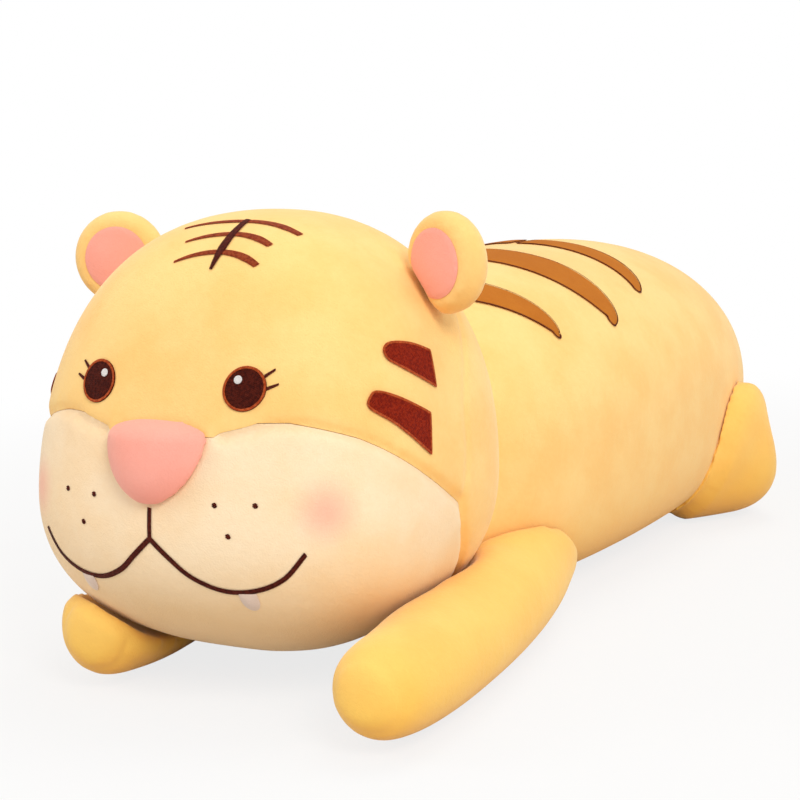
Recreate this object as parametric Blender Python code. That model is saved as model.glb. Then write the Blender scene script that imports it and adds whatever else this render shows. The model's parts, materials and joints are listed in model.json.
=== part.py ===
"""A plush tiger that lies flat on its belly, in metres, with +Z up.

The tiger faces -Y and its left side is +X. The origin is on the floor, under the middle of
the flat belly. Each cover is a fabric shell, open where it is sewn to its neighbour, and its
filling lies inside it. Embroidery and appliques are thin layers on the covers. The head, the
ears, the legs and the tail turn on named axes, and each is cut clear of its larger neighbour
at rest and at both ends of its range.
"""

from math import cos, exp, pi, radians, sin

import bmesh
import bpy
from mathutils import Matrix, Vector

# Fabric, gaps and the thin layers that are sewn on
FABRIC = 0.0025
GAP = 0.0003
THREAD_HEIGHT = 0.0012
APPLIQUE_HEIGHT = 0.0016

# Head: its centre is ahead of the body's front end, and its chin is clear of the floor
HEAD_AHEAD = 0.020
CHIN_LIFT = 0.016
HEAD_HALF_WIDTH = 0.141
HEAD_FRONT_DEPTH = 0.121
HEAD_BACK_DEPTH = 0.118
HEAD_CROWN_HEIGHT = 0.171
HEAD_CHIN_HEIGHT = 0.117
HEAD_SIDE_SQUARENESS = 2.25
HEAD_PLAN_SQUARENESS = 3.0
MUZZLE_BULGE_SHARE = 0.20
MUZZLE_BULGE_RISE_SHARE = -0.30
MUZZLE_BULGE_SPREAD_SHARE = 0.65
NECK_OPENING_RADIUS = 0.055
HEAD_COLUMNS = 22
HEAD_ROWS = 13
HEAD_NOD = 6.0
NOD_STEPS = 3
NOD_SLACK = 0.0005
NOD_ROOM = 0.009

# Seam between the yellow cover and the cream muzzle, seen from the side, as shares of the
# head's front depth and crown height from its centre
MUZZLE_SEAM_SHARES = [
    (-1.04, 0.25), (-0.97, 0.30), (-0.91, 0.30), (-0.73, 0.237), (-0.36, 0.068),
    (-0.02, -0.081), (0.03, -0.176), (0.21, -0.402), (0.50, -0.66),
]

# Body, with its middle a little behind the origin
BODY_HALF_LENGTH = 0.333
BODY_MIDDLE_BACK = 0.013
BODY_HALF_WIDTH = 0.147
BODY_HEIGHT = 0.254
BODY_PRESS = 0.0005
BODY_COLUMNS = 20
BODY_ROWS = 13
BODY_END_SQUARENESS = 2.7
BODY_TOP_SQUARENESS = 2.05
BODY_LOW_SQUARENESS = 3.2
BODY_SHOULDER_SHARE = 0.92
BODY_SAG_SHARE = 0.22

# Front legs, left side: the hinge, the root, the elbow and the paw's tip in plan, as shares of
# the body's half width and half length from its middle. The right leg lies further in and
# further back.
FRONT_HINGE_SHARES = (0.680, -0.489)
FRONT_PATH_SHARES = [(0.612, -0.466), (0.915, -0.952), (1.027, -1.525)]
FRONT_RADIUS = 0.041
FRONT_RADIUS_SHARES = (1.0, 0.80, 0.91)
FRONT_END_SQUARENESS = 4.6
FRONT_REST_TURNS = {"left": 0.0, "right": -13.4}
FRONT_REST_BACK_SHARES = {"left": 0.0, "right": 0.111}
FRONT_SPLAY_OUT = 20.0

# Hind legs, left side, in the same shares
HIND_HINGE_SHARES = (0.544, 0.321)
HIND_PATH_SHARES = [(0.408, 0.261), (0.787, 0.499), (0.952, 0.607)]
HIND_RADIUS = 0.055
HIND_RADIUS_SHARES = (1.0, 1.0, 1.09)
HIND_END_SQUARENESS = 2.4
HIND_SPLAY_OUT = 12.0
HIND_SPLAY_IN = 4.0

LEG_FLOOR_GAP = 0.0008
LEG_COLUMNS = 12
LEG_ROWS = 9

# Ears, left side, on the head's crown
EAR_TURN = 96.8
EAR_RISE = 45.7
EAR_RADIUS = 0.033
EAR_CENTRE_OUT = 0.0278
EAR_CENTRE_UP = 0.0038
EAR_HALF_THICKNESS = 0.0165
EAR_SQUARENESS = 2.3
EAR_LEAN = 43.2
EAR_INWARD = 21.0
EAR_FOLD = 10.0
EAR_PANEL_SHARE = 0.67
EAR_COLUMNS = 16
EAR_ROWS = 8

# Tail, curled towards the right side. Its hinge and root lie ahead of the rump by shares of the
# body's half length, and its curl is in shares of its own length from the rump.
TAIL_LENGTH = 0.160
TAIL_HINGE_SHARE = 0.204
TAIL_ROOT_SHARE = 0.255
TAIL_CURL_SHARES = [(-0.05, 0.075), (-0.50, 0.388)]
TAIL_RADIUS = 0.018
TAIL_RADIUS_SHARES = (1.0, 1.06, 0.89)
TAIL_END_SQUARENESS = 3.4
TAIL_SWING = 20.0
TAIL_COLUMNS = 10
TAIL_ROWS = 9

# Nose: places are from the head's centre, in its front view
NOSE_LIFT = 0.041
NOSE_HALF_WIDTH = 0.040
NOSE_RISE = 0.013
NOSE_DROP = 0.043
NOSE_TOP_SQUARENESS = 2.4
NOSE_LOW_SQUARENESS = 1.85
NOSE_SWELL = 0.031
NOSE_SEAT = 0.009
NOSE_COLUMNS = 20
NOSE_ROWS = 8

# Eyes
EYE_TURN = 25.6
EYE_RISE = 29.4
EYE_RADIUS = 0.0137
EYE_RIM_WIDTH = 0.0019
EYE_SIDES = 16
HIGHLIGHT_RADIUS = 0.0026
HIGHLIGHT_IN = 0.0038
HIGHLIGHT_UP = 0.0057
LASH_WIDTH = 0.0024
LASH_LENGTH = 0.0072
LASH_ROOT_ANGLES = (26.0, -6.0)
LASH_RUN_ANGLES = (30.0, 17.0)

# Mouth, whisker dots and fangs: places in the head's front view, as shares of its half width
# and of its chin's height
MOUTH_WIDTH = 0.0040
MOUTH_LINE_LENGTH = 0.016
MOUTH_PLACE_SHARES = [
    (0.089, -0.250), (0.191, -0.350), (0.328, -0.413), (0.470, -0.403), (0.596, -0.333),
    (0.688, -0.205),
]
DOT_RADIUS = 0.0017
DOT_PLACE_SHARES = [(0.319, 0.038), (0.497, 0.043), (0.383, -0.115)]
DOT_SIDES = 8
FANG_OUT_SHARE = 0.426
FANG_HALF_WIDTH = 0.0070
FANG_LENGTH = 0.0110

# Forehead mark, in a view square to the forehead: half length, place and droop of each bar,
# as shares of the head's half width. The mark is sewn a little to the left of the middle.
FOREHEAD_RISE = 70.0
FOREHEAD_ASIDE = 0.009
FOREHEAD_BAR_SHARES = [(0.305, 0.149, 0.053), (0.223, 0.028, 0.057), (0.217, -0.095, 0.057)]
FOREHEAD_BAR_WIDTH = 0.0042
FOREHEAD_STROKE_WIDTH = 0.0056
FOREHEAD_STROKE_TAIL = 0.0130

# Cheek stripes, in views square to the cheek, with outlines as shares of their half length
CHEEK_STRIPE_HALF_LENGTH = 0.025
CHEEK_STRIPE_VIEWS = {"upper": (75.0, 30.0), "lower": (66.0, 18.0)}
CHEEK_STRIPE_SHARES = {
    "upper": [
        (-1.03, 0.30), (-1.03, 0.55), (-0.74, 0.66), (-0.08, 0.58), (0.61, 0.37), (0.46, -0.52),
        (-0.08, -0.27), (-0.70, 0.06),
    ],
    "lower": [
        (-1.00, 0.43), (-0.93, 0.70), (-0.70, 0.79), (-0.09, 0.57), (0.88, 0.13), (0.72, -0.84),
        (0.29, -0.53), (-0.36, -0.03),
    ],
}

# Back stripes, left side: each has a tip, and a rear and a front edge that start beside the
# spine and bend once. Places are from the body's middle, as shares of its half width and half
# length.
STRIPE_TIP_SHARES = [(0.755, -0.432), (0.810, -0.198), (0.728, 0.051)]
STRIPE_REAR_SHARES = [
    (-0.535, (0.680, -0.363)), (-0.159, (0.803, -0.054)), (0.135, (0.626, 0.225)),
]
STRIPE_FRONT_SHARES = [
    (-0.676, (0.646, -0.468)), (-0.327, (0.714, -0.225)), (0.027, (0.558, 0.096)),
]
STRIPE_NOTCH_OUT = 0.004
STRIPE_STEPS = 5

YELLOW = (0.95, 0.66, 0.22, 1.0)
CREAM = (0.96, 0.82, 0.60, 1.0)
PINK = (0.93, 0.42, 0.34, 1.0)
BROWN = (0.12, 0.022, 0.010, 1.0)
RIM_BROWN = (0.42, 0.075, 0.030, 1.0)
CARAMEL = (0.55, 0.20, 0.045, 1.0)
WHITE = (0.92, 0.90, 0.86, 1.0)
FIBRE = (0.90, 0.90, 0.90, 1.0)

BODY_CENTRE = Vector((0.0, BODY_MIDDLE_BACK, BODY_HEIGHT / 2 - BODY_PRESS))
BODY_FRONT = BODY_MIDDLE_BACK - BODY_HALF_LENGTH
BODY_REAR = BODY_MIDDLE_BACK + BODY_HALF_LENGTH
HEAD_CENTRE = Vector((0.0, BODY_FRONT - HEAD_AHEAD, CHIN_LIFT + HEAD_CHIN_HEIGHT))
FAR = BODY_HALF_LENGTH + HEAD_CROWN_HEIGHT + HEAD_HALF_WIDTH
X_AXIS = Vector((1.0, 0.0, 0.0))
Y_AXIS = Vector((0.0, 1.0, 0.0))
Z_AXIS = Vector((0.0, 0.0, 1.0))


def clear_scene():
    for item in list(bpy.data.objects):
        bpy.data.objects.remove(item, do_unlink=True)


def fabric(name, colour, roughness=0.95):
    material = bpy.data.materials.new(name)
    material.use_nodes = True
    shader = material.node_tree.nodes["Principled BSDF"]
    shader.inputs["Base Color"].default_value = colour
    shader.inputs["Roughness"].default_value = roughness
    shader.inputs["Metallic"].default_value = 0.0
    material.diffuse_color = colour
    return material


def add_object(name, mesh):
    item = bpy.data.objects.new(name, mesh)
    bpy.context.scene.collection.objects.link(item)
    return item


def solid_from(name, rings, first_pole, last_pole):
    """Join rings of points into one closed skin of triangles, with a pole at each end.

    The second half of each ring mirrors the first, and so do the triangles.
    """
    shape = bmesh.new()
    start = shape.verts.new(first_pole)
    end = shape.verts.new(last_pole)
    loops = [[shape.verts.new(point) for point in ring] for ring in rings]
    count = len(rings[0])
    for index in range(count):
        after = (index + 1) % count
        shape.faces.new((start, loops[0][after], loops[0][index]))
        shape.faces.new((end, loops[-1][index], loops[-1][after]))
    for near, far in zip(loops, loops[1:]):
        for index in range(count):
            after = (index + 1) % count
            if index < count / 2:
                shape.faces.new((near[index], near[after], far[after]))
                shape.faces.new((near[index], far[after], far[index]))
            else:
                shape.faces.new((near[index], near[after], far[index]))
                shape.faces.new((near[after], far[after], far[index]))
    bmesh.ops.recalc_face_normals(shape, faces=shape.faces)
    mesh = bpy.data.meshes.new(name)
    shape.to_mesh(mesh)
    shape.free()
    return add_object(name, mesh)


def prism(name, outline, place, across, upward, depth):
    """Extrude a flat outline, given across and upward from place, by depth."""
    forward = across.cross(upward)
    near = [place + across * u + upward * v for u, v in outline]
    far = [point + forward * depth for point in near]
    shape = bmesh.new()
    near_verts = [shape.verts.new(point) for point in near]
    far_verts = [shape.verts.new(point) for point in far]
    shape.faces.new(near_verts)
    shape.faces.new(list(reversed(far_verts)))
    for index in range(len(near)):
        after = (index + 1) % len(near)
        shape.faces.new((near_verts[after], near_verts[index], far_verts[index], far_verts[after]))
    bmesh.ops.recalc_face_normals(shape, faces=shape.faces)
    mesh = bpy.data.meshes.new(name)
    shape.to_mesh(mesh)
    shape.free()
    return add_object(name, mesh)


def combine(item, tools, operation):
    """Cut item with all the tools at once, or keep what they share, and leave a plain mesh."""
    group = bpy.data.collections.new("tools")
    for tool in tools:
        group.objects.link(tool)
    modifier = item.modifiers.new(operation.title(), "BOOLEAN")
    modifier.operation = operation
    modifier.operand_type = "COLLECTION"
    modifier.collection = group
    modifier.solver = "EXACT"
    bpy.context.view_layer.update()
    evaluated = item.evaluated_get(bpy.context.evaluated_depsgraph_get())
    result = bpy.data.meshes.new_from_object(evaluated)
    item.modifiers.clear()
    item.data = result
    bpy.data.collections.remove(group)


def cut(item, *tools):
    combine(item, tools, "DIFFERENCE")


def keep_inside(item, tool):
    combine(item, [tool], "INTERSECT")


def discard(*items):
    for item in items:
        bpy.data.objects.remove(item, do_unlink=True)


def turned_about(item, name, pivot, axis, degrees):
    """Copy item, turned about an axis through pivot."""
    twin = add_object(name, item.data.copy())
    turn = Matrix.Translation(pivot) @ Matrix.Rotation(radians(degrees), 4, axis)
    twin.data.transform(turn @ Matrix.Translation(-pivot))
    return twin


def to_right(item):
    """Mirror a piece across to the tiger's right side."""
    item.data.transform(Matrix.Scale(-1.0, 4, X_AXIS))
    item.data.flip_normals()


def plan_place(shares):
    """A place on the floor's plan, given as shares of the body's half width and length."""
    return shares[0] * BODY_HALF_WIDTH, BODY_MIDDLE_BACK + shares[1] * BODY_HALF_LENGTH


def turned_point(place, pivot, degrees):
    """Turn a place on the floor's plan about a pivot, outwards on the left side."""
    offset = Vector((place[0] - pivot[0], place[1] - pivot[1]))
    offset.rotate(Matrix.Rotation(radians(degrees), 2))
    return pivot[0] + offset.x, pivot[1] + offset.y


def finish(item, material, pivot=None):
    """Give a piece its material, smooth shading and an origin on its joint's axis."""
    item.data.materials.clear()
    item.data.materials.append(material)
    item.data.shade_smooth()
    item.data.set_sharp_from_angle(angle=radians(40.0))
    if pivot is not None:
        item.data.transform(Matrix.Translation(-pivot))
        item.location = pivot


def bulk(share, squareness):
    """Half size, as a share, at a place along a rounded form that runs from -1 to 1."""
    return max(0.0, 1.0 - abs(share) ** squareness) ** (1.0 / squareness)


def heading(turn, rise):
    """Direction from the head's centre: turn from straight ahead to the left, then rise."""
    return Vector((
        cos(radians(rise)) * sin(radians(turn)),
        -cos(radians(rise)) * cos(radians(turn)),
        sin(radians(rise)),
    ))


def head_reach(direction):
    """Distance from the head's centre to its surface."""
    depth = HEAD_FRONT_DEPTH if direction.y < 0.0 else HEAD_BACK_DEPTH
    height = HEAD_CROWN_HEIGHT if direction.z > 0.0 else HEAD_CHIN_HEIGHT
    plan = (
        abs(direction.x / HEAD_HALF_WIDTH) ** HEAD_PLAN_SQUARENESS
        + abs(direction.y / depth) ** HEAD_PLAN_SQUARENESS
    ) ** (1.0 / HEAD_PLAN_SQUARENESS)
    side = plan ** HEAD_SIDE_SQUARENESS + abs(direction.z / height) ** HEAD_SIDE_SQUARENESS
    offset = (direction.z - MUZZLE_BULGE_RISE_SHARE) / MUZZLE_BULGE_SPREAD_SHARE
    bulge = MUZZLE_BULGE_SHARE * exp(-offset * offset) * max(0.0, -direction.y) ** 2
    return side ** (-1.0 / HEAD_SIDE_SQUARENESS) * (1.0 + bulge)


def head_form(name, grow=0.0):
    """The head's skin, moved out by grow."""
    rings = []
    for row in range(1, HEAD_ROWS):
        rise = -90.0 + 180.0 * row / HEAD_ROWS
        ring = []
        for column in range(HEAD_COLUMNS):
            direction = heading(360.0 * column / HEAD_COLUMNS, rise)
            ring.append(HEAD_CENTRE + direction * (head_reach(direction) + grow))
        rings.append(ring)
    low = HEAD_CENTRE - Z_AXIS * (head_reach(-Z_AXIS) + grow)
    high = HEAD_CENTRE + Z_AXIS * (head_reach(Z_AXIS) + grow)
    return solid_from(name, rings, low, high)


def body_form(name, grow=0.0):
    """The body's skin, moved out by grow: a long barrel with a slightly narrower chest."""
    rings = []
    length = BODY_HALF_LENGTH + grow
    for row in range(1, BODY_ROWS):
        along = -cos(pi * row / BODY_ROWS)
        share = bulk(along, BODY_END_SQUARENESS)
        taper = BODY_SHOULDER_SHARE + (1.0 - BODY_SHOULDER_SHARE) * min(1.0, 1.0 + along)
        width = (BODY_HALF_WIDTH * taper + grow) * share
        height = (BODY_HEIGHT / 2 + grow) * share
        sag = (1.0 - share) * BODY_SAG_SHARE * BODY_HEIGHT
        ring = []
        for column in range(BODY_COLUMNS):
            angle = 2.0 * pi * column / BODY_COLUMNS
            side, top = sin(angle), cos(angle)
            power = BODY_TOP_SQUARENESS if top > 0.0 else BODY_LOW_SQUARENESS
            size = (abs(side) ** power + abs(top) ** power) ** (-1.0 / power)
            ring.append(BODY_CENTRE + Vector((
                width * side * size, length * along, height * top * size - sag,
            )))
        rings.append(ring)
    drop = Z_AXIS * (BODY_SAG_SHARE * BODY_HEIGHT)
    front = BODY_CENTRE - Y_AXIS * length - drop
    rear = BODY_CENTRE + Y_AXIS * length - drop
    return solid_from(name, rings, front, rear)


def limb_form(name, path, radii, squareness, columns, rows, grow=0.0):
    """A tube along three places on the floor's plan, with its own half size at each."""
    heights = [radius + LEG_FLOOR_GAP for radius in radii]
    stations = [Vector((x, y, z)) for (x, y), z in zip(path, heights)]

    def blend(values, t):
        start, middle, end = values
        return start * (1 - t) * (1 - 2 * t) + middle * 4 * t * (1 - t) + end * t * (2 * t - 1)

    def slope(t):
        start, middle, end = stations
        return (start * (4 * t - 3) + middle * (4 - 8 * t) + end * (4 * t - 1)).normalized()

    rings = []
    for row in range(1, rows):
        along = -cos(pi * row / rows)
        t = (along + 1.0) / 2.0
        forward = slope(t)
        side = forward.cross(Z_AXIS).normalized()
        up = side.cross(forward)
        size = (blend(radii, t) + grow) * bulk(along, squareness)
        centre = blend(stations, t) + forward * (grow * along)
        ring = []
        for column in range(columns):
            angle = 2.0 * pi * column / columns
            ring.append(centre + side * (size * cos(angle)) + up * (size * sin(angle)))
        rings.append(ring)
    root = stations[0] - slope(0.0) * grow
    tip = stations[-1] + slope(1.0) * grow
    return solid_from(name, rings, root, tip)


def ear_frame():
    """Place of the left ear's root on the head, and its outward and along directions."""
    direction = heading(EAR_TURN, EAR_RISE)
    root = HEAD_CENTRE + direction * head_reach(direction)
    outward = Vector((cos(radians(EAR_LEAN)), 0.0, sin(radians(EAR_LEAN))))
    along = Y_AXIS.cross(outward)
    inward = Matrix.Rotation(radians(-EAR_INWARD), 3, Z_AXIS)
    return root, inward @ outward, inward @ along


def ear_form(name, grow=0.0):
    """A round, flat ear, whose centre lies outward of its root and a little up."""
    root, outward, along = ear_frame()
    centre = root + outward * EAR_CENTRE_OUT - along * EAR_CENTRE_UP
    backward = outward.cross(along)
    rings = []
    for row in range(1, EAR_ROWS):
        share = -cos(pi * row / EAR_ROWS)
        size = bulk(share, EAR_SQUARENESS)
        ring = []
        for column in range(EAR_COLUMNS):
            angle = 2.0 * pi * column / EAR_COLUMNS
            ring.append(
                centre
                - backward * ((EAR_HALF_THICKNESS + grow) * share)
                + outward * ((EAR_RADIUS + grow) * size * cos(angle))
                + along * ((EAR_RADIUS + grow) * size * sin(angle))
            )
        rings.append(ring)
    depth = backward * (EAR_HALF_THICKNESS + grow)
    return solid_from(name, rings, centre + depth, centre - depth)


def head_front(level):
    """Place on the front of the head, on its middle plane, at a level above its centre."""
    aim = level
    for _ in range(8):
        direction = Vector((0.0, -HEAD_FRONT_DEPTH, aim)).normalized()
        place = direction * head_reach(direction)
        aim += level - place.z
    return HEAD_CENTRE + place


def nose_form(name):
    """A rounded triangle that swells out of the head's front."""
    high = head_front(NOSE_LIFT + NOSE_RISE)
    low = head_front(NOSE_LIFT - NOSE_DROP)
    slope = (high.y - low.y) / (high.z - low.z)
    seat = Vector((0.0, low.y + slope * NOSE_DROP + NOSE_SEAT, HEAD_CENTRE.z + NOSE_LIFT))
    rings = []
    for row in range(1, NOSE_ROWS):
        share = -cos(pi * row / NOSE_ROWS)
        size = bulk(share, 2.0)
        ring = []
        for column in range(NOSE_COLUMNS):
            angle = 2.0 * pi * column / NOSE_COLUMNS
            level = NOSE_RISE if sin(angle) > 0.0 else NOSE_DROP
            power = NOSE_TOP_SQUARENESS if sin(angle) > 0.0 else NOSE_LOW_SQUARENESS
            reach = (abs(cos(angle)) ** power + abs(sin(angle)) ** power) ** (-1.0 / power)
            rise = level * size * reach * sin(angle)
            ring.append(seat + Vector((
                NOSE_HALF_WIDTH * size * reach * cos(angle), slope * rise - NOSE_SWELL * share, rise,
            )))
        rings.append(ring)
    swell = Y_AXIS * NOSE_SWELL
    return solid_from(name, rings, seat + swell, seat - swell)


def circle(radius, sides, across=0.0, upward=0.0):
    steps = [2.0 * pi * step / sides for step in range(sides)]
    return [(across + radius * cos(step), upward + radius * sin(step)) for step in steps]


def smooth_path(places, steps):
    """Points on a smooth curve through the places."""
    points = []
    last = len(places) - 1
    for index in range(last):
        before = Vector(places[max(0, index - 1)])
        start = Vector(places[index])
        end = Vector(places[index + 1])
        after = Vector(places[min(last, index + 2)])
        for step in range(steps):
            t = step / steps
            points.append((
                start * 2.0
                + (end - before) * t
                + (before * 2.0 - start * 5.0 + end * 4.0 - after) * t ** 2
                + (start * 3.0 - before - end * 3.0 + after) * t ** 3
            ) * 0.5)
    points.append(Vector(places[last]))
    return points


def ribbon(points, half_widths):
    """Outline of a line with its own half width at each point."""
    left, right = [], []
    for index, point in enumerate(points):
        ahead = points[min(index + 1, len(points) - 1)]
        behind = points[max(index - 1, 0)]
        run = (ahead - behind).normalized()
        offset = Vector((-run.y, run.x)) * half_widths[index]
        left.append(tuple(point + offset))
        right.append(tuple(point - offset))
    return left + right[::-1]


def widened(outline, margin):
    """Move every edge of a clockwise outline out by margin."""
    edges = []
    for index, point in enumerate(outline):
        start, end = Vector(point), Vector(outline[(index + 1) % len(outline)])
        run = (end - start).normalized()
        normal = Vector((-run.y, run.x))
        edges.append((start + normal * margin, run, normal))
    moved = []
    for index, (start, run, normal) in enumerate(edges):
        before_start, before_run, before_normal = edges[index - 1]
        shift = (start - before_start).dot(normal) / before_run.dot(normal)
        moved.append(tuple(before_start + before_run * shift))
    return moved


def lay_on(piece, form, low, high):
    """Keep the part of a piece that lies between two heights above a form's skin."""
    outer = form("outer", high)
    inner = form("inner", low)
    keep_inside(piece, outer)
    cut(piece, inner)
    discard(outer, inner)


def sew_on(name, outline, form, view, height, low=GAP):
    """A thin layer of the outline's shape, seen from a view, on a form's skin."""
    piece = prism(name, outline, *view, FAR)
    lay_on(piece, form, low, low + height)
    return piece


def head_view(turn, rise):
    """Look at the head from a direction: its centre, across and upward."""
    across = Vector((cos(radians(turn)), sin(radians(turn)), 0.0))
    forward = heading(turn, rise)
    return HEAD_CENTRE, across, forward.cross(across)


def on_side(pivot, side):
    return pivot if side == "left" else Vector((-pivot.x, pivot.y, pivot.z))


def on_both_sides(left, material, pivot=None):
    """Finish a left piece, and make its twin for the right side."""
    right = add_object(left.name.replace("left", "right"), left.data.copy())
    to_right(right)
    finish(left, material, pivot)
    finish(right, material, None if pivot is None else on_side(pivot, "right"))


def nodded(grow):
    """The head's skin at even steps through its nod, with slack for all between."""
    head = head_form("head_obstacle", grow + NOD_SLACK)
    angles = [HEAD_NOD * (2.0 * step / NOD_STEPS - 1.0) for step in range(NOD_STEPS + 1)]
    copies = swung([head], HEAD_CENTRE, X_AXIS, angles)
    discard(head)
    return copies


def swung(items, pivot, axis, angles):
    """Copies of the items, turned about the axis by each angle."""
    return [
        turned_about(item, "obstacle", pivot, axis, degrees)
        for item in items
        for degrees in angles
    ]


def muzzle_region(name, margin=0.0):
    """Everything below and ahead of the muzzle seam, right across the head."""
    seam = [(y * HEAD_FRONT_DEPTH, z * HEAD_CROWN_HEIGHT) for y, z in MUZZLE_SEAM_SHARES]
    outline = [(-FAR, seam[0][1])] + seam + [(seam[-1][0], -FAR), (-FAR, -FAR)]
    outline = widened(outline, margin)
    place = HEAD_CENTRE - X_AXIS * FAR
    return prism(name, outline, place, Y_AXIS, Z_AXIS, 2.0 * FAR)


def make_head(yellow, cream, fibre):
    cover = head_form("head_cover")
    inside = head_form("inside", -FABRIC)
    neck = prism("neck", circle(NECK_OPENING_RADIUS, HEAD_COLUMNS), HEAD_CENTRE,
                 Z_AXIS, X_AXIS, FAR)
    cut(cover, inside, neck)
    muzzle = add_object("muzzle_cover", cover.data.copy())
    region = muzzle_region("region")
    beyond = muzzle_region("beyond", GAP)
    keep_inside(muzzle, region)
    cut(cover, beyond)
    discard(inside, neck, region, beyond)
    filling = head_form("head_filling", -FABRIC - GAP)
    finish(cover, yellow, HEAD_CENTRE)
    finish(muzzle, cream, HEAD_CENTRE)
    finish(filling, fibre, HEAD_CENTRE)


def make_body(yellow, fibre):
    floor = prism("floor", [(-FAR, -FAR), (FAR, -FAR), (FAR, FAR), (-FAR, FAR)],
                  Vector((0.0, 0.0, -FAR)), X_AXIS, Y_AXIS, FAR)
    seat = nodded(GAP)
    room = head_form("room", GAP + NOD_ROOM)
    cover = body_form("body_cover")
    inside = body_form("inside", -FABRIC)
    filling = body_form("body_filling", -FABRIC - GAP)
    cut(cover, inside, floor, *seat)
    cut(filling, room)
    discard(floor, inside, room, *seat)
    finish(cover, yellow)
    finish(filling, fibre)


def make_limb(name, shape, pivot, angles, near_head=False):
    """A limb's cover, open at the root, and its filling, clear of all that they turn past."""
    cover = limb_form(f"{name}_cover", *shape)
    inside = limb_form("inside", *shape, -FABRIC)
    filling = limb_form(f"{name}_filling", *shape, -FABRIC - GAP)
    if near_head:
        outer = nodded(GAP)
        inner = nodded(GAP + FABRIC)
        room = head_form("room", GAP + FABRIC + NOD_ROOM)
        cut(cover, *outer)
        cut(inside, *inner)
        cut(filling, room)
        discard(room, *outer, *inner)
    body = body_form("body_obstacle", GAP)
    bodies = swung([body], pivot, Z_AXIS, angles)
    cut(cover, inside, *bodies)
    cut(filling, *bodies)
    discard(inside, body, *bodies)
    return cover, filling


def make_legs(yellow, fibre):
    size = (LEG_COLUMNS, LEG_ROWS)
    hinge = plan_place(FRONT_HINGE_SHARES)
    pivot = Vector((*hinge, FRONT_RADIUS + LEG_FLOOR_GAP))
    angles = (-FRONT_SPLAY_OUT, -FRONT_SPLAY_OUT / 2, 0.0)
    radii = [FRONT_RADIUS * share for share in FRONT_RADIUS_SHARES]
    for side, turn in FRONT_REST_TURNS.items():
        back = FRONT_REST_BACK_SHARES[side] * BODY_HALF_LENGTH
        path = [turned_point(plan_place(place), hinge, turn) for place in FRONT_PATH_SHARES]
        path = [(x, y + back) for x, y in path]
        shape = (path, radii, FRONT_END_SQUARENESS, *size)
        pieces = make_limb(f"front_leg_{side}", shape, pivot, angles, near_head=True)
        for piece, material in zip(pieces, (yellow, fibre)):
            if side == "right":
                to_right(piece)
            finish(piece, material, on_side(pivot, side))
    pivot = Vector((*plan_place(HIND_HINGE_SHARES), HIND_RADIUS + LEG_FLOOR_GAP))
    angles = (HIND_SPLAY_OUT, HIND_SPLAY_OUT / 2, 0.0, -HIND_SPLAY_IN)
    radii = [HIND_RADIUS * share for share in HIND_RADIUS_SHARES]
    path = [plan_place(place) for place in HIND_PATH_SHARES]
    cover, filling = make_limb(
        "hind_leg_left", (path, radii, HIND_END_SQUARENESS, *size), pivot, angles)
    on_both_sides(cover, yellow, pivot)
    on_both_sides(filling, fibre, pivot)


def make_tail(yellow, fibre):
    curl = [(x * TAIL_LENGTH, BODY_REAR + y * TAIL_LENGTH) for x, y in TAIL_CURL_SHARES]
    path = [(0.0, BODY_REAR - TAIL_ROOT_SHARE * BODY_HALF_LENGTH), *curl]
    hinge = BODY_REAR - TAIL_HINGE_SHARE * BODY_HALF_LENGTH
    pivot = Vector((0.0, hinge, TAIL_RADIUS + LEG_FLOOR_GAP))
    radii = [TAIL_RADIUS * share for share in TAIL_RADIUS_SHARES]
    shape = (path, radii, TAIL_END_SQUARENESS, TAIL_COLUMNS, TAIL_ROWS)
    cover, filling = make_limb("tail", shape, pivot, (-TAIL_SWING, 0.0, TAIL_SWING))
    finish(cover, yellow, pivot)
    finish(filling, fibre, pivot)


def make_ears(yellow, pink):
    root, outward, along = ear_frame()
    head = head_form("head_obstacle", GAP)
    heads = swung([head], root, along, (-EAR_FOLD, EAR_FOLD))
    ear = ear_form("ear_left")
    reach = EAR_RADIUS * EAR_PANEL_SHARE
    outline = circle(reach, EAR_COLUMNS, -EAR_CENTRE_UP, EAR_CENTRE_OUT)
    panel = sew_on("ear_left_panel", outline, ear_form, (root, along, outward), FABRIC)
    cut(ear, *heads)
    cut(panel, *heads)
    discard(head, *heads)
    on_both_sides(ear, yellow, root)
    on_both_sides(panel, pink, root)


def make_nose(pink):
    nose = nose_form("nose")
    head = head_form("head_obstacle", GAP)
    cut(nose, head)
    discard(head)
    finish(nose, pink, HEAD_CENTRE)


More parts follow.
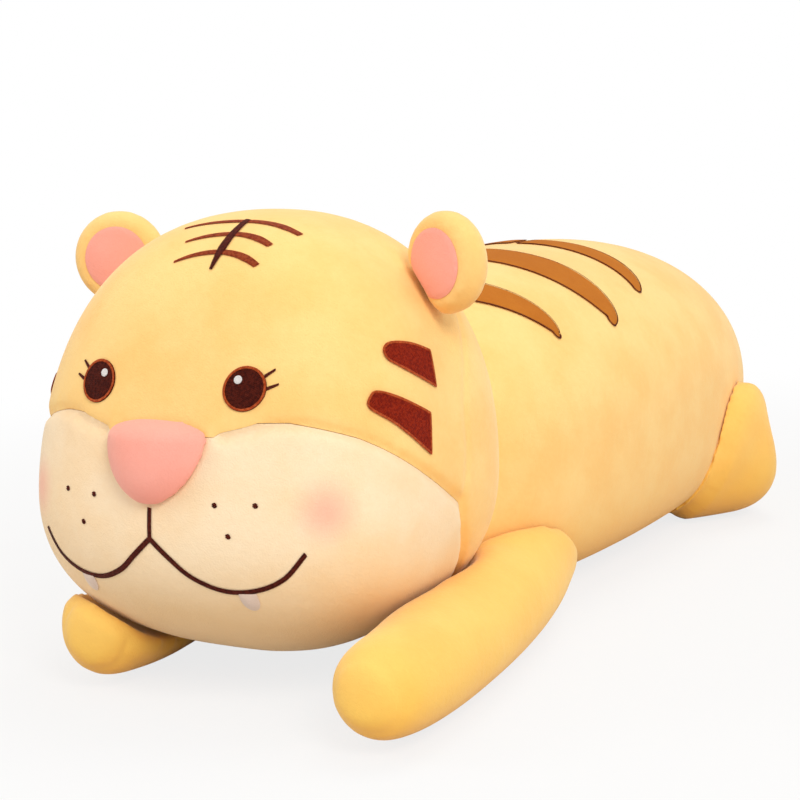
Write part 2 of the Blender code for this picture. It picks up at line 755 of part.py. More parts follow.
def make_eyes(brown, rim_brown, white):
    view = head_view(EYE_TURN, EYE_RISE)
    inner = EYE_RADIUS - EYE_RIM_WIDTH
    eye = sew_on("eye_left", circle(inner - GAP, EYE_SIDES), head_form, view, THREAD_HEIGHT)
    on_both_sides(eye, brown, HEAD_CENTRE)
    rim = prism("eye_left_rim", circle(EYE_RADIUS, EYE_SIDES), *view, FAR)
    bore = prism("bore", circle(inner, EYE_SIDES), *view, FAR)
    cut(rim, bore)
    discard(bore)
    lay_on(rim, head_form, GAP, GAP + THREAD_HEIGHT)
    on_both_sides(rim, rim_brown, HEAD_CENTRE)
    spot = circle(HIGHLIGHT_RADIUS, DOT_SIDES, -HIGHLIGHT_IN, HIGHLIGHT_UP)
    above = GAP + THREAD_HEIGHT + GAP
    highlight = sew_on("eye_left_highlight", spot, head_form, view, THREAD_HEIGHT, above)
    on_both_sides(highlight, white, HEAD_CENTRE)
    start = EYE_RADIUS + GAP
    for number, angles in enumerate(zip(LASH_ROOT_ANGLES, LASH_RUN_ANGLES), 1):
        out, run = (Vector((cos(radians(angle)), sin(radians(angle)))) for angle in angles)
        root = out * (start + LASH_WIDTH / 2)
        points = [root, root + run * (LASH_LENGTH / 2), root + run * LASH_LENGTH]
        outline = ribbon(points, [LASH_WIDTH / 2, LASH_WIDTH / 2, LASH_WIDTH / 4])
        lash = sew_on(f"eye_left_lash_{number}", outline, head_form, view, THREAD_HEIGHT)
        on_both_sides(lash, brown, HEAD_CENTRE)


def face_place(shares):
    """A place in the head's front view, given as shares of its half width and chin's height."""
    return shares[0] * HEAD_HALF_WIDTH, shares[1] * HEAD_CHIN_HEIGHT


def make_mouth(rim_brown, white):
    view = (HEAD_CENTRE, X_AXIS, Z_AXIS)
    top = NOSE_LIFT - NOSE_DROP - GAP
    fork = top - MOUTH_LINE_LENGTH
    half = MOUTH_WIDTH / 2
    line = ribbon([Vector((0.0, top)), Vector((0.0, fork))], [half, half])
    finish(sew_on("mouth_middle", line, head_form, view, THREAD_HEIGHT), rim_brown, HEAD_CENTRE)
    places = [face_place(shares) for shares in MOUTH_PLACE_SHARES]
    path = smooth_path([(MOUTH_WIDTH + GAP, fork), *places], 3)
    widths = [half] * (len(path) - 1) + [half / 2]
    arc = sew_on("mouth_left", ribbon(path, widths), head_form, view, THREAD_HEIGHT)
    on_both_sides(arc, rim_brown, HEAD_CENTRE)
    out = FANG_OUT_SHARE * HEAD_HALF_WIDTH
    lip = min(path, key=lambda point: abs(point.x - out))
    level = lip.y - MOUTH_WIDTH
    fang_shares = [(-1.0, 0.0), (1.0, 0.0), (0.75, -0.6), (0.0, -1.0), (-0.75, -0.6)]
    fang = [(out + FANG_HALF_WIDTH * x, level + FANG_LENGTH * y) for x, y in fang_shares]
    on_both_sides(sew_on("fang_left", fang, head_form, view, APPLIQUE_HEIGHT), white, HEAD_CENTRE)
    for number, shares in enumerate(DOT_PLACE_SHARES, 1):
        dot = circle(DOT_RADIUS, DOT_SIDES, *face_place(shares))
        whisker = sew_on(f"whisker_dot_left_{number}", dot, head_form, view, THREAD_HEIGHT)
        on_both_sides(whisker, rim_brown, HEAD_CENTRE)


def make_forehead(brown):
    """One tapered stroke, crossed by three drooping bars."""
    place, across, upward = head_view(0.0, FOREHEAD_RISE)
    view = (place + across * FOREHEAD_ASIDE, across, upward)
    half = FOREHEAD_STROKE_WIDTH / 2
    thick = FOREHEAD_BAR_WIDTH / 2
    bars = [[share * HEAD_HALF_WIDTH for share in shares] for shares in FOREHEAD_BAR_SHARES]
    top = bars[0][1] + thick
    tail = bars[-1][1] - FOREHEAD_STROKE_TAIL
    middle = (top + tail * 2) / 3
    stroke = ribbon([Vector((0.0, y)) for y in (top, middle, tail)], [half, half, half / 4])
    finish(sew_on("forehead_stroke", stroke, head_form, view, THREAD_HEIGHT), brown, HEAD_CENTRE)
    for side, mirror in (("left", 1.0), ("right", -1.0)):
        for number, (length, level, droop) in enumerate(bars, 1):
            start = half + GAP
            xs = [start + (length - start) * step / 3 for step in range(4)]
            points = [Vector((mirror * x, level - droop * (x / length) ** 2)) for x in xs]
            outline = ribbon(points, [thick, thick, thick, thick / 2])
            name = f"forehead_bar_{side}_{number}"
            bar = sew_on(name, outline, head_form, view, THREAD_HEIGHT)
            finish(bar, brown, HEAD_CENTRE)


def make_cheek_stripes(brown):
    size = CHEEK_STRIPE_HALF_LENGTH
    for name, shares in CHEEK_STRIPE_SHARES.items():
        view = head_view(*CHEEK_STRIPE_VIEWS[name])
        outline = [(x * size, y * size) for x, y in shares]
        stripe = sew_on(f"cheek_stripe_left_{name}", outline, head_form, view, THREAD_HEIGHT)
        on_both_sides(stripe, brown, HEAD_CENTRE)


def bow(edge, tip):
    """Points of a stripe's edge, from beside the spine out to its tip, bent once."""
    level, corner_shares = edge
    _, y = plan_place((0.0, level))
    start, corner = Vector((STRIPE_NOTCH_OUT, y)), Vector(plan_place(corner_shares))
    shares = [step / STRIPE_STEPS for step in range(STRIPE_STEPS + 1)]
    return [start * (1 - t) ** 2 + corner * 2 * t * (1 - t) + tip * t * t for t in shares]


def make_back_stripes(caramel):
    view = (Vector((0.0, 0.0, BODY_HEIGHT / 2)), X_AXIS, Y_AXIS)
    edges = zip(STRIPE_TIP_SHARES, STRIPE_REAR_SHARES, STRIPE_FRONT_SHARES)
    for number, (tip_shares, rear, front) in enumerate(edges, 1):
        tip = Vector(plan_place(tip_shares))
        outline = [tuple(point) for point in bow(rear, tip) + bow(front, tip)[-2::-1]]
        name = f"back_stripe_left_{number}"
        stripe = sew_on(name, outline, body_form, view, APPLIQUE_HEIGHT)
        on_both_sides(stripe, caramel)


def main():
    clear_scene()
    yellow = fabric("yellow_plush", YELLOW)
    cream = fabric("cream_plush", CREAM)
    pink = fabric("pink_plush", PINK)
    brown = fabric("brown_thread", BROWN, 0.6)
    rim_brown = fabric("red_brown_thread", RIM_BROWN, 0.6)
    caramel = fabric("caramel_plush", CARAMEL)
    white = fabric("white_felt", WHITE)
    fibre = fabric("stuffing", FIBRE)
    make_body(yellow, fibre)
    make_head(yellow, cream, fibre)
    make_legs(yellow, fibre)
    make_tail(yellow, fibre)
    make_ears(yellow, pink)
    make_nose(pink)
    make_eyes(brown, rim_brown, white)
    make_mouth(rim_brown, white)
    make_forehead(brown)
    make_cheek_stripes(brown)
    make_back_stripes(caramel)


main()
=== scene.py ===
"""Dress the plush tiger: stuffed plush covers, embroidery, appliques, stage and camera."""

import json
from math import cos, pi, radians, sin

import bmesh
import bpy
import numpy as np
from bpy.props import FloatProperty, FloatVectorProperty, IntProperty, PointerProperty
from bpy.types import Operator, Panel, PropertyGroup
from mathutils import Matrix, Vector
from mathutils.bvhtree import BVHTree
from mathutils.geometry import delaunay_2d_cdt
from mathutils.kdtree import KDTree
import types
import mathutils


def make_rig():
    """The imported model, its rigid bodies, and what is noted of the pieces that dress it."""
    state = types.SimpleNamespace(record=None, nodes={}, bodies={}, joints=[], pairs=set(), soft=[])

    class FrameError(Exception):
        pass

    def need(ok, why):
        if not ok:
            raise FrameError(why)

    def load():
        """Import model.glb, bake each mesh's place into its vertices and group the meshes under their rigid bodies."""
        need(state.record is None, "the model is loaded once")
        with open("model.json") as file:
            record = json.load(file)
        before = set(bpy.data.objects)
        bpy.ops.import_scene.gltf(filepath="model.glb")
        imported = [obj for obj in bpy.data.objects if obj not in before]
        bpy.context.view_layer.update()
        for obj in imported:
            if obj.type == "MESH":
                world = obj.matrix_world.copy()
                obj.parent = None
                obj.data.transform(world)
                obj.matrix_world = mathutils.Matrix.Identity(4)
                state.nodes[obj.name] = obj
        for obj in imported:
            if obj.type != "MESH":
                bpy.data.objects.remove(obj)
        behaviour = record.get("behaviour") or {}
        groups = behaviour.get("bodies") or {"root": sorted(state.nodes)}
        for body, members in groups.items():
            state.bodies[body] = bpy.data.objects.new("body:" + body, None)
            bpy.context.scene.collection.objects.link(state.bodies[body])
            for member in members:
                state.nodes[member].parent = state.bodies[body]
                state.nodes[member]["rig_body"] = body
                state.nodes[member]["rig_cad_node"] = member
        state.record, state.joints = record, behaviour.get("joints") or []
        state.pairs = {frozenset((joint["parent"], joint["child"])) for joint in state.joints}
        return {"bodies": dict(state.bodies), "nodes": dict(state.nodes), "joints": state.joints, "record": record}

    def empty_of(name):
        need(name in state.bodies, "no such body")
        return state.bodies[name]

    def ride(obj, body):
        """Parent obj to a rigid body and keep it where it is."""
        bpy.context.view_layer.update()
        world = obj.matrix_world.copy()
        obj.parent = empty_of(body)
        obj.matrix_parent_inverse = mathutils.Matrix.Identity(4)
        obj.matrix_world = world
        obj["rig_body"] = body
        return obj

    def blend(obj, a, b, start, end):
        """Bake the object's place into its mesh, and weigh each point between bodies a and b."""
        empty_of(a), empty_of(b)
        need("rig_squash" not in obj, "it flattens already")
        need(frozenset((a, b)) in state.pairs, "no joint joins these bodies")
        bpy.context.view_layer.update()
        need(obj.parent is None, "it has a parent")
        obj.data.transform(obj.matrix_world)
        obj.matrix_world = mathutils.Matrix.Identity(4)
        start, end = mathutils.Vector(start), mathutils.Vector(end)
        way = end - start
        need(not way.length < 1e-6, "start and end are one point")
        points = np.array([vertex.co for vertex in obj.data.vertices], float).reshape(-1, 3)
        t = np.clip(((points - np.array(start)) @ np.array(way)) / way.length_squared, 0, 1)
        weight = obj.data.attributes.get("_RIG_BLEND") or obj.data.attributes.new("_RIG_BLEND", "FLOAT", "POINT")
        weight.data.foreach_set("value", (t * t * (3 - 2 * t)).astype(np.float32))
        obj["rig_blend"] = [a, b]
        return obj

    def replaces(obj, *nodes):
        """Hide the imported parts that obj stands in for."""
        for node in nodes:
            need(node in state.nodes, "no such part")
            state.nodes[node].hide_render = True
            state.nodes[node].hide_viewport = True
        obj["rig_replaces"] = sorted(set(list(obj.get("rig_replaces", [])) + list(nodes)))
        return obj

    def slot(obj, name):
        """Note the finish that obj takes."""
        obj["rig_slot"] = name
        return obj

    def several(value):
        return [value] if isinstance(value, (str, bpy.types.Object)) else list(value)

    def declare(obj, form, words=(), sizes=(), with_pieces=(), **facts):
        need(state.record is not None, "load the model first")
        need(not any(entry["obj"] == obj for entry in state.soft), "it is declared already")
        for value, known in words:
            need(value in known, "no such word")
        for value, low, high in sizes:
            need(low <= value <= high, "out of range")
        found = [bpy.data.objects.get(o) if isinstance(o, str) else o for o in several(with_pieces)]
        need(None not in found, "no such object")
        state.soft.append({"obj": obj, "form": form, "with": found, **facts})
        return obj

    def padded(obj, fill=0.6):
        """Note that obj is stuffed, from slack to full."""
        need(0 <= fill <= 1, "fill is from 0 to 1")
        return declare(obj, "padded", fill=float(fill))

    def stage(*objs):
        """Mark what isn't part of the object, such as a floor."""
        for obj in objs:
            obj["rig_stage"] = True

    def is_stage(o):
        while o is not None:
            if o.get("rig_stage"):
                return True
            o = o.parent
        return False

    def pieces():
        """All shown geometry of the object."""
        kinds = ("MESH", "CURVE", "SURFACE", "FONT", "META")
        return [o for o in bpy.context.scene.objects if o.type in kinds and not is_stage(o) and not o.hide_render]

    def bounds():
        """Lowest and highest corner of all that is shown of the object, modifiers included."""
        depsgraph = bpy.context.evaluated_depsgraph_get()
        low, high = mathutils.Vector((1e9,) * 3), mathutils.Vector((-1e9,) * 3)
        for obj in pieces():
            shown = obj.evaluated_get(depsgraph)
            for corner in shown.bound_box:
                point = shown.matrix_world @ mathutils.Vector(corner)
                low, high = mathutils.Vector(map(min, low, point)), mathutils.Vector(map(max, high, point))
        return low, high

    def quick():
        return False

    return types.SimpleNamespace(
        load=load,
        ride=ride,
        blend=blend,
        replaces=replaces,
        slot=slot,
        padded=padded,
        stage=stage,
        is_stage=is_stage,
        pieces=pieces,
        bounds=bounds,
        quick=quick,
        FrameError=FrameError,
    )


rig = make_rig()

bl_info = {
    "name": "Plush tiger",
    "version": (1, 0, 0),
    "blender": (4, 5, 0),
    "location": "3D View > Sidebar > Plush tiger",
    "description": "Stuffed covers, embroidery and stage for a plush tiger",
    "category": "Object",
}

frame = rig.load()
CAD_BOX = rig.bounds()

# Head
HEAD_CENTRE = Vector((0.0, -0.340, 0.133))
HEAD_HALF_WIDTH = 0.141
HEAD_FRONT_DEPTH = 0.121
HEAD_BACK_DEPTH = 0.118
HEAD_CROWN_HEIGHT = 0.171
HEAD_CHIN_HEIGHT = 0.117
HEAD_SIDE_SQUARENESS = 2.25
HEAD_PLAN_SQUARENESS = 3.0
MUZZLE_BULGE_SHARE = 0.20
MUZZLE_BULGE_RISE_SHARE = -0.30
MUZZLE_BULGE_SPREAD_SHARE = 0.65
HEAD_NOD = 6.0
MUZZLE_SEAM_SHARES = [
    (-1.04, 0.25), (-0.97, 0.30), (-0.91, 0.30), (-0.73, 0.237), (-0.36, 0.068),
    (-0.02, -0.081), (0.03, -0.176), (0.21, -0.402), (0.50, -0.66),
]
GUSSET_SEAM = [(88.8, -5.8), (91.8, 6.5), (94.0, 20.3), (106.0, 35.6), (124.0, 50.0), (180.0, 58.0)]

# Body
BODY_HALF_LENGTH = 0.333
BODY_MIDDLE_BACK = 0.013
BODY_HALF_WIDTH = 0.147
BODY_HEIGHT = 0.254
BODY_PRESS = 0.0005
BODY_END_SQUARENESS = 2.7
BODY_TOP_SQUARENESS = 2.05
BODY_LOW_SQUARENESS = 3.2
BODY_SHOULDER_SHARE = 0.92
BODY_SAG_SHARE = 0.22
BODY_CENTRE = Vector((0.0, BODY_MIDDLE_BACK, BODY_HEIGHT / 2 - BODY_PRESS))

# Legs and tail
FRONT_HINGE_SHARES = (0.680, -0.489)
FRONT_PATH_SHARES = [(0.612, -0.466), (0.915, -0.952), (1.027, -1.525)]
FRONT_RADIUS = 0.041
FRONT_RADIUS_SHARES = (1.0, 0.80, 0.91)
FRONT_END_SQUARENESS = 4.6
FRONT_REST_TURNS = {"left": 0.0, "right": -13.4}
FRONT_REST_BACK_SHARES = {"left": 0.0, "right": 0.111}
HIND_PATH_SHARES = [(0.408, 0.261), (0.787, 0.499), (0.952, 0.607)]
HIND_RADIUS = 0.055
HIND_RADIUS_SHARES = (1.0, 1.0, 1.09)
HIND_END_SQUARENESS = 2.4
LEG_FLOOR_GAP = 0.0008
TAIL_LENGTH = 0.160
TAIL_ROOT_SHARE = 0.255
TAIL_CURL_SHARES = [(-0.05, 0.075), (-0.50, 0.388)]
TAIL_RADIUS = 0.018
TAIL_RADIUS_SHARES = (1.0, 1.06, 0.89)
TAIL_END_SQUARENESS = 3.4

# Ears
EAR_TURN = 96.8
EAR_RISE = 45.7
EAR_RADIUS = 0.033
EAR_CENTRE_OUT = 0.0278
EAR_CENTRE_UP = 0.0038
EAR_HALF_THICKNESS = 0.0165
EAR_SQUARENESS = 2.3
EAR_LEAN = 43.2
EAR_INWARD = 21.0
EAR_PANEL_SHARE = 0.67
EAR_PANEL_SIDES = 72
EAR_PANEL_FOOT_SHARE = 0.72
EAR_DISH_REACH = 0.14
EAR_DISH_SLOPE = 0.24

# Face
NOSE_LIFT = 0.041
NOSE_HALF_WIDTH = 0.040
NOSE_RISE = 0.013
NOSE_DROP = 0.043
NOSE_TOP_SQUARENESS = 2.4
NOSE_LOW_SQUARENESS = 1.85
NOSE_SWELL = 0.031
NOSE_SEAT = 0.009
EYE_TURN = 25.6
EYE_RISE = 29.4
EYE_RADIUS = 0.0137
EYE_RIM_WIDTH = 0.0019
HIGHLIGHT_RADIUS = 0.0026
HIGHLIGHT_IN = 0.0038
HIGHLIGHT_UP = 0.0057
LASH_WIDTH = 0.0024
LASH_LENGTH = 0.0072
LASH_CLEARANCE = 0.0002
LASH_FULLNESS = (1.1, 0.7)
LASH_ROOT_ANGLES = (26.0, -6.0)
LASH_RUN_ANGLES = (30.0, 17.0)
MOUTH_WIDTH = 0.0040
MOUTH_LINE_LENGTH = 0.016
MOUTH_LINE_OVERLAP = 0.002
MOUTH_END_FULLNESS = 0.85
MOUTH_PLACE_SHARES = [
    (0.089, -0.250), (0.191, -0.350), (0.328, -0.413), (0.470, -0.403), (0.596, -0.333),
    (0.688, -0.205),
]
DOT_RADIUS = 0.0017
DOT_PLACE_SHARES = [(0.319, 0.038), (0.497, 0.043), (0.383, -0.115)]
FANG_OUT_SHARE = 0.426
FANG_HALF_WIDTH = 0.0070
FANG_LENGTH = 0.0110
FANG_SEEN_SHARE = 0.8
BLUSH_PLACE = (0.1073, -0.4528, 0.1337)
BLUSH_RADIUS = 0.026
BLUSH_SHARE = 0.62

# Stripes
FOREHEAD_RISE = 70.0
FOREHEAD_ASIDE = 0.009
FOREHEAD_BAR_SHARES = [(0.305, 0.149, 0.053), (0.223, 0.028, 0.057), (0.217, -0.095, 0.057)]
FOREHEAD_BAR_FULLNESS = {"left": (1.15, 1.30, 1.45, 1.15), "right": (1.15, 1.10, 0.90, 0.50)}
FOREHEAD_BAR_WIDTH = 0.0042
FOREHEAD_STROKE_WIDTH = 0.0056
FOREHEAD_STROKE_TAIL = 0.0130
FOREHEAD_STROKE_FULLNESS = (0.90, 1.15, 1.30, 0.50)
CHEEK_STRIPE_HALF_LENGTH = 0.025
CHEEK_STRIPE_VIEWS = {"upper": (75.0, 30.0), "lower": (66.0, 18.0)}
CHEEK_STRIPE_SHARES = {
    "upper": [
        (-1.03, 0.30), (-1.03, 0.55), (-0.74, 0.66), (-0.08, 0.58), (0.61, 0.37), (0.46, -0.52),
        (-0.08, -0.27), (-0.70, 0.06),
    ],
    "lower": [
        (-1.00, 0.43), (-0.93, 0.70), (-0.70, 0.79), (-0.09, 0.57), (0.88, 0.13), (0.72, -0.84),
        (0.29, -0.53), (-0.36, -0.03),
    ],
}
STRIPE_TIP_SHARES = [(0.755, -0.432), (0.810, -0.198), (0.728, 0.051)]
STRIPE_REAR_SHARES = [
    (-0.535, (0.680, -0.363)), (-0.159, (0.803, -0.054)), (0.135, (0.626, 0.225)),
]
STRIPE_FRONT_SHARES = [
    (-0.676, (0.646, -0.468)), (-0.327, (0.714, -0.225)), (0.027, (0.558, 0.096)),
]
STRIPE_NOTCH_OUT = 0.004
STRIPE_TIP_HALF_WIDTH = 0.0032
STRIPE_EDGE_WIDTH = 0.0022
STRIPE_PITCH_SHARE = 1.4

# Stuffing
BODY_VOXEL = 0.0060
HEAD_VOXEL = 0.0050
LEG_VOXEL = 0.0045
EAR_VOXEL = 0.0035
NOSE_VOXEL = 0.0018
CLOTH_FRAMES = 20
CLOTH_QUALITY = 4
CLOTH_STIFFNESS = 8.0
CLOTH_PRESSURE = 8.0
USUAL_PERCENTILE = 40
HELD_REACH = 0.001
FULL_REACH = 0.010
EAR_FULL_REACH = 0.006
NOSE_FULL_REACH = 0.003
SEAM_FULL_REACH = 0.016
LEAST_SWELL_SHARE = 0.85
FLARE_REACH_SHARE = 3.0
HIP_REACH_SHARE = 4.0
LEG_FILLET = 0.012
HIND_FILLET = 0.014
PAW_SEAM_SHARE = 0.985
PAW_SEAM_WIDTH_SHARE = 0.7
PAW_SEAM_DEPTH_SHARE = 0.6
PUFF_WIDTH_SHARE = 3.5
GUSSET_DEPTH_SHARE = 0.5
OUTER_FACE_SHARE = 0.4
SEAM_SPACING = 0.0008
LEG_LIFT = 0.0004
CHIN_CLEARANCE = 0.001

# Sewing
OUTLINE_SIDES = 64
FILL_LIFT = 0.0008
EDGE_LIFT = 0.0010
LINE_LIFT = 0.0005
STROKE_LIFT = 0.0007
KNOT_LIFT = 0.0004
LINE_THREAD_SHARE = 1.5
EYE_STITCH = 0.0036
CHEEK_STITCH = 0.0030
SMALL_STITCH = 0.004
CHEEK_EDGE_WIDTH = 0.0019
THREAD_UNEVENNESS = 0.18
EYE_SLANT = 35.0
GLINT_SLANT = 80.0
LASH_SLANT = 25.0
LINE_SLANT = 12.0
KNOT_SLANT = 60.0
CHEEK_SLANT = 60.0
STRIPE_SLANT = 10.0

# Sewn layers: height, spacing of the mesh, softness of the edge and lift
PANEL_LAYER = (0.0022, 0.0018, 0.0020)
FANG_LAYER = (0.0018, 0.0013, 0.0030)
STRIPE_LAYER = (0.0015, 0.0028, 0.0016)
BASE_LAYER = (0.0007,)
GLINT_LAYER = (0.0004, 0.0009, 0.0012, 0.0010)
GLINT_LIFT = 0.0013

# Sizes of the soft changes of tone and height in the pile, the thread and the felt
LIE_SIZE = 0.045
TUFT_SIZE = 0.0045
FIBRE_SIZE = 0.0011
THREAD_TONE_SIZE = 0.0016
THREAD_GRAIN_SIZE = 0.00025
THREAD_GRAIN_HEIGHT = 0.00005
FUZZ_SIZE = 0.0012
FUZZ_HEIGHT = 0.0002

GAP = 0.0004
FAR = 0.6
X_AXIS = Vector((1.0, 0.0, 0.0))
Y_AXIS = Vector((0.0, 1.0, 0.0))
Z_AXIS = Vector((0.0, 0.0, 1.0))
SIDES = {"left": 1.0, "right": -1.0}

# Camera
FOCAL_LENGTH = 81.0
CAMERA_PLACE = (0.6566, -1.3236, 0.3615)
CAMERA_TURN = 29.72
CAMERA_RISE = 9.0
CAMERA_ROLL = -1.794

# Light and floor, with each lamp's place, size, power and tint
LAMP_AIM = (0.0, -0.1, 0.12)
LAMPS = {
    "key_lamp": ((1.8, -1.7, 1.9), 1.2, 39.0, (1.0, 0.97, 0.92)),
    "side_lamp": ((-1.9, -1.5, 1.5), 1.2, 13.0, (1.0, 0.97, 0.93)),
    "top_lamp": ((0.3, 0.6, 2.4), 1.4, 18.0, (1.0, 0.97, 0.93)),
}
WORLD_TINT = (1.0, 0.98, 0.96, 1.0)
WORLD_STRENGTH = 0.62
WHITE = (1.0, 1.0, 1.0, 1.0)
PAPER_GREY = (0.70, 0.70, 0.70, 1.0)
FLOOR_HALF_WIDTH = 6.0
FLOOR_DROP = 0.0004


def settings():
    return bpy.context.scene.plush_tiger_sizes


def colours():
    return bpy.context.scene.plush_tiger_colours


# Shader maths


class Value:
    """A shader socket that can be added to and multiplied."""

    def __init__(self, recipe, output):
        self.recipe = recipe
        self.output = output

    def joined(self, operation, *values):
        return self.recipe.node(
            "ShaderNodeMath", {"operation": operation}, dict(enumerate(values)))

    def __add__(self, other):
        return self.joined("ADD", self, other)

    def __mul__(self, other):
        return self.joined("MULTIPLY", self, other)


class Recipe:
    """One material: its Principled shader, and the nodes that vary it over the surface."""

    def __init__(self, name, levels):
        self.material = bpy.data.materials.new(name)
        self.material.use_nodes = True
        self.tree = self.material.node_tree
        self.shader = self.tree.nodes["Principled BSDF"]
        for socket, level in levels.items():
            self.shader.inputs[socket].default_value = level

    def node(self, kind, options, sockets, output=0):
        """Add a node, set its options and then its sockets, and give one of its outputs."""
        made = self.tree.nodes.new(kind)
        for option, value in options.items():
            setattr(made, option, value)
        for socket, value in sockets.items():
            if isinstance(value, Value):
                self.tree.links.new(value.output, made.inputs[socket])
            else:
                made.inputs[socket].default_value = value
        return Value(self, made.outputs[output])

    def place(self):
        """The surface's own place, in metres."""
        return self.node("ShaderNodeTexCoord", {}, {}, "Object")

    def noise(self, place, size, detail=2.0):
        """Soft noise whose features are about size metres across."""
        return self.node(
            "ShaderNodeTexNoise", {}, {"Vector": place, "Scale": 1.0 / size, "Detail": detail})

    def mixed(self, share, first, second):
        options = {"data_type": "RGBA"}
        return self.node("ShaderNodeMix", options, {0: share, 6: first, 7: second}, 2)

    def ranged(self, value, low, high):
        """0 at low and 1 at high, smooth between them."""
        options = {"interpolation_type": "SMOOTHSTEP"}
        sockets = {"Value": value, "From Min": low, "From Max": high}
        return self.node("ShaderNodeMapRange", options, sockets)

    def part(self, vector, axis):
        return self.node("ShaderNodeSeparateXYZ", {}, {0: vector}, axis)

    def paint(self, colour):
        self.tree.links.new(colour.output, self.shader.inputs["Base Color"])

    def raise_by(self, height, distance):
        """Bump the surface by a height from 0 to 1 times a distance in metres."""
        bump = self.node("ShaderNodeBump", {}, {"Height": height, "Distance": distance})
        self.tree.links.new(bump.output, self.shader.inputs["Normal"])


def shade(colour, share):
    """A colour, darkened to a share and a little more saturated, as plush is in its folds."""
    return tuple(part ** (1.0 + (1.0 - share)) * share for part in colour[:3]) + (1.0,)


def plush(name, colour, deep, low_painted_shade=None, sheen=0.35):
    """Short, brushed pile: soft patches where it lies differently, painted shade where it faces down and low near the
    floor, and fine fibre bump.
    """
    recipe = Recipe(name, {
        "Roughness": 0.95, "Sheen Weight": sheen, "Sheen Roughness": 0.45,
        "Sheen Tint": (1.0, 0.93, 0.80, 1.0), "Specular IOR Level": 0.15,
    })
    place = recipe.place()
    patches = recipe.noise(place, LIE_SIZE)
    tufts = recipe.noise(place, TUFT_SIZE, 3.0)
    fibre = recipe.noise(place, FIBRE_SIZE)
    lie = recipe.ranged(patches, 0.30, 0.70)
    colour_here = recipe.mixed(lie * 0.25 + tufts * 0.20, tuple(colour), tuple(deep))
    # Painted shade: faces that point down are mixed towards the deep tone.
    normal = recipe.node("ShaderNodeNewGeometry", {}, {}, "Normal")
    downward_painted_shade = recipe.ranged(recipe.part(normal, 2), 0.05, -0.9)
    # Painted shade: pile below 8 cm is mixed towards the low painted shade tone, for the shade near the floor.
    low = recipe.ranged(recipe.part(place, 2), 0.08, 0.0)
    colour_here = recipe.mixed(low * 0.8, colour_here, tuple(low_painted_shade or deep))
    colour_here = recipe.mixed(downward_painted_shade * 0.6, colour_here, tuple(deep))
    recipe.paint(colour_here)
    recipe.raise_by(tufts * 0.5 + fibre * 0.5, settings().pile)
    return recipe, colour_here


def cream_plush(name):
    """Cream pile with a soft pink blush airbrushed on each cheek."""
    tones = colours()
    recipe, colour_here = plush(name, tones.cream, tones.cream_deep, tones.cream)
    place = recipe.place()
    out = recipe.node("ShaderNodeMath", {"operation": "ABSOLUTE"}, {0: recipe.part(place, 0)})
    place = recipe.node("ShaderNodeCombineXYZ", {}, {
        0: out, 1: recipe.part(place, 1), 2: recipe.part(place, 2)})
    distance = recipe.node(
        "ShaderNodeVectorMath", {"operation": "DISTANCE"}, {0: place, 1: BLUSH_PLACE}, "Value")
    blush = recipe.ranged(distance, BLUSH_RADIUS, 0.0)
    recipe.paint(recipe.mixed(blush * BLUSH_SHARE, colour_here, tuple(tones.blush)))
    return recipe


def thread(name, colour, roughness=0.5):
    """Glossy embroidery thread, with small changes of tone from stitch to stitch."""
    recipe = Recipe(name, {"Roughness": roughness, "Specular IOR Level": 0.12})
    place = recipe.place()
    tone = recipe.noise(place, THREAD_TONE_SIZE, 1.0)
    recipe.paint(recipe.mixed(recipe.ranged(tone, 0.35, 0.65), shade(colour, 0.8), tuple(colour)))
    recipe.raise_by(recipe.noise(place, THREAD_GRAIN_SIZE, 1.0), THREAD_GRAIN_HEIGHT)
    return recipe


def felt(name, colour):
    """Thin felt with a short, uneven fuzz."""
    recipe = Recipe(name, {"Roughness": 0.9, "Sheen Weight": 0.4, "Sheen Roughness": 0.5})
    place = recipe.place()
    fuzz = recipe.noise(place, FUZZ_SIZE, 3.0)
    recipe.paint(recipe.mixed(fuzz * 0.4, tuple(colour), shade(colour, 0.85)))
    recipe.raise_by(fuzz, FUZZ_HEIGHT)
    return recipe


MATERIALS = {}


def finish_of(name):
    """The named material, made the first time that it is asked for."""
    tones = colours()
    piles = {
        # Each pile gives its colour, its deep tone for random patches and for painted shade where it faces down, then
        # the tone of the painted shade low near the floor, and the sheen where given.
        "yellow_plush": (tones.yellow, tones.orange, tones.golden_low_shade),
        "amber_plush": (tones.amber, tones.orange, tones.golden_low_shade),
        "pink_plush": (tones.pink, tones.pink_deep),
        "caramel_plush": (tones.caramel, tones.caramel_deep, None, 0.0),
    }
    felts = {"white_felt": tones.white, "fang_felt": tones.ivory}
    threads = {
        "brown_thread": (tones.brown,),
        "russet_thread": (tones.russet,),
        "bar_thread": (tones.bar,),
        "edge_thread": (tones.edge, 0.4),
    }
    if name not in MATERIALS:
        if name in piles:
            recipe = plush(name, *piles[name])[0]
        elif name in felts:
            recipe = felt(name, felts[name])
        elif name in threads:
            recipe = thread(name, *threads[name])
        else:
            recipe = cream_plush(name)
        MATERIALS[name] = recipe.material
    return MATERIALS[name]


# Meshes


def add_object(name, mesh):
    item = bpy.data.objects.new(name, mesh)
    bpy.context.scene.collection.objects.link(item)
    return item


def discard(*items):
    for item in items:
        bpy.data.objects.remove(item, do_unlink=True)


def from_bmesh(name, shape):
    bmesh.ops.recalc_face_normals(shape, faces=shape.faces)
    mesh = bpy.data.meshes.new(name)
    shape.to_mesh(mesh)
    shape.free()
    return add_object(name, mesh)


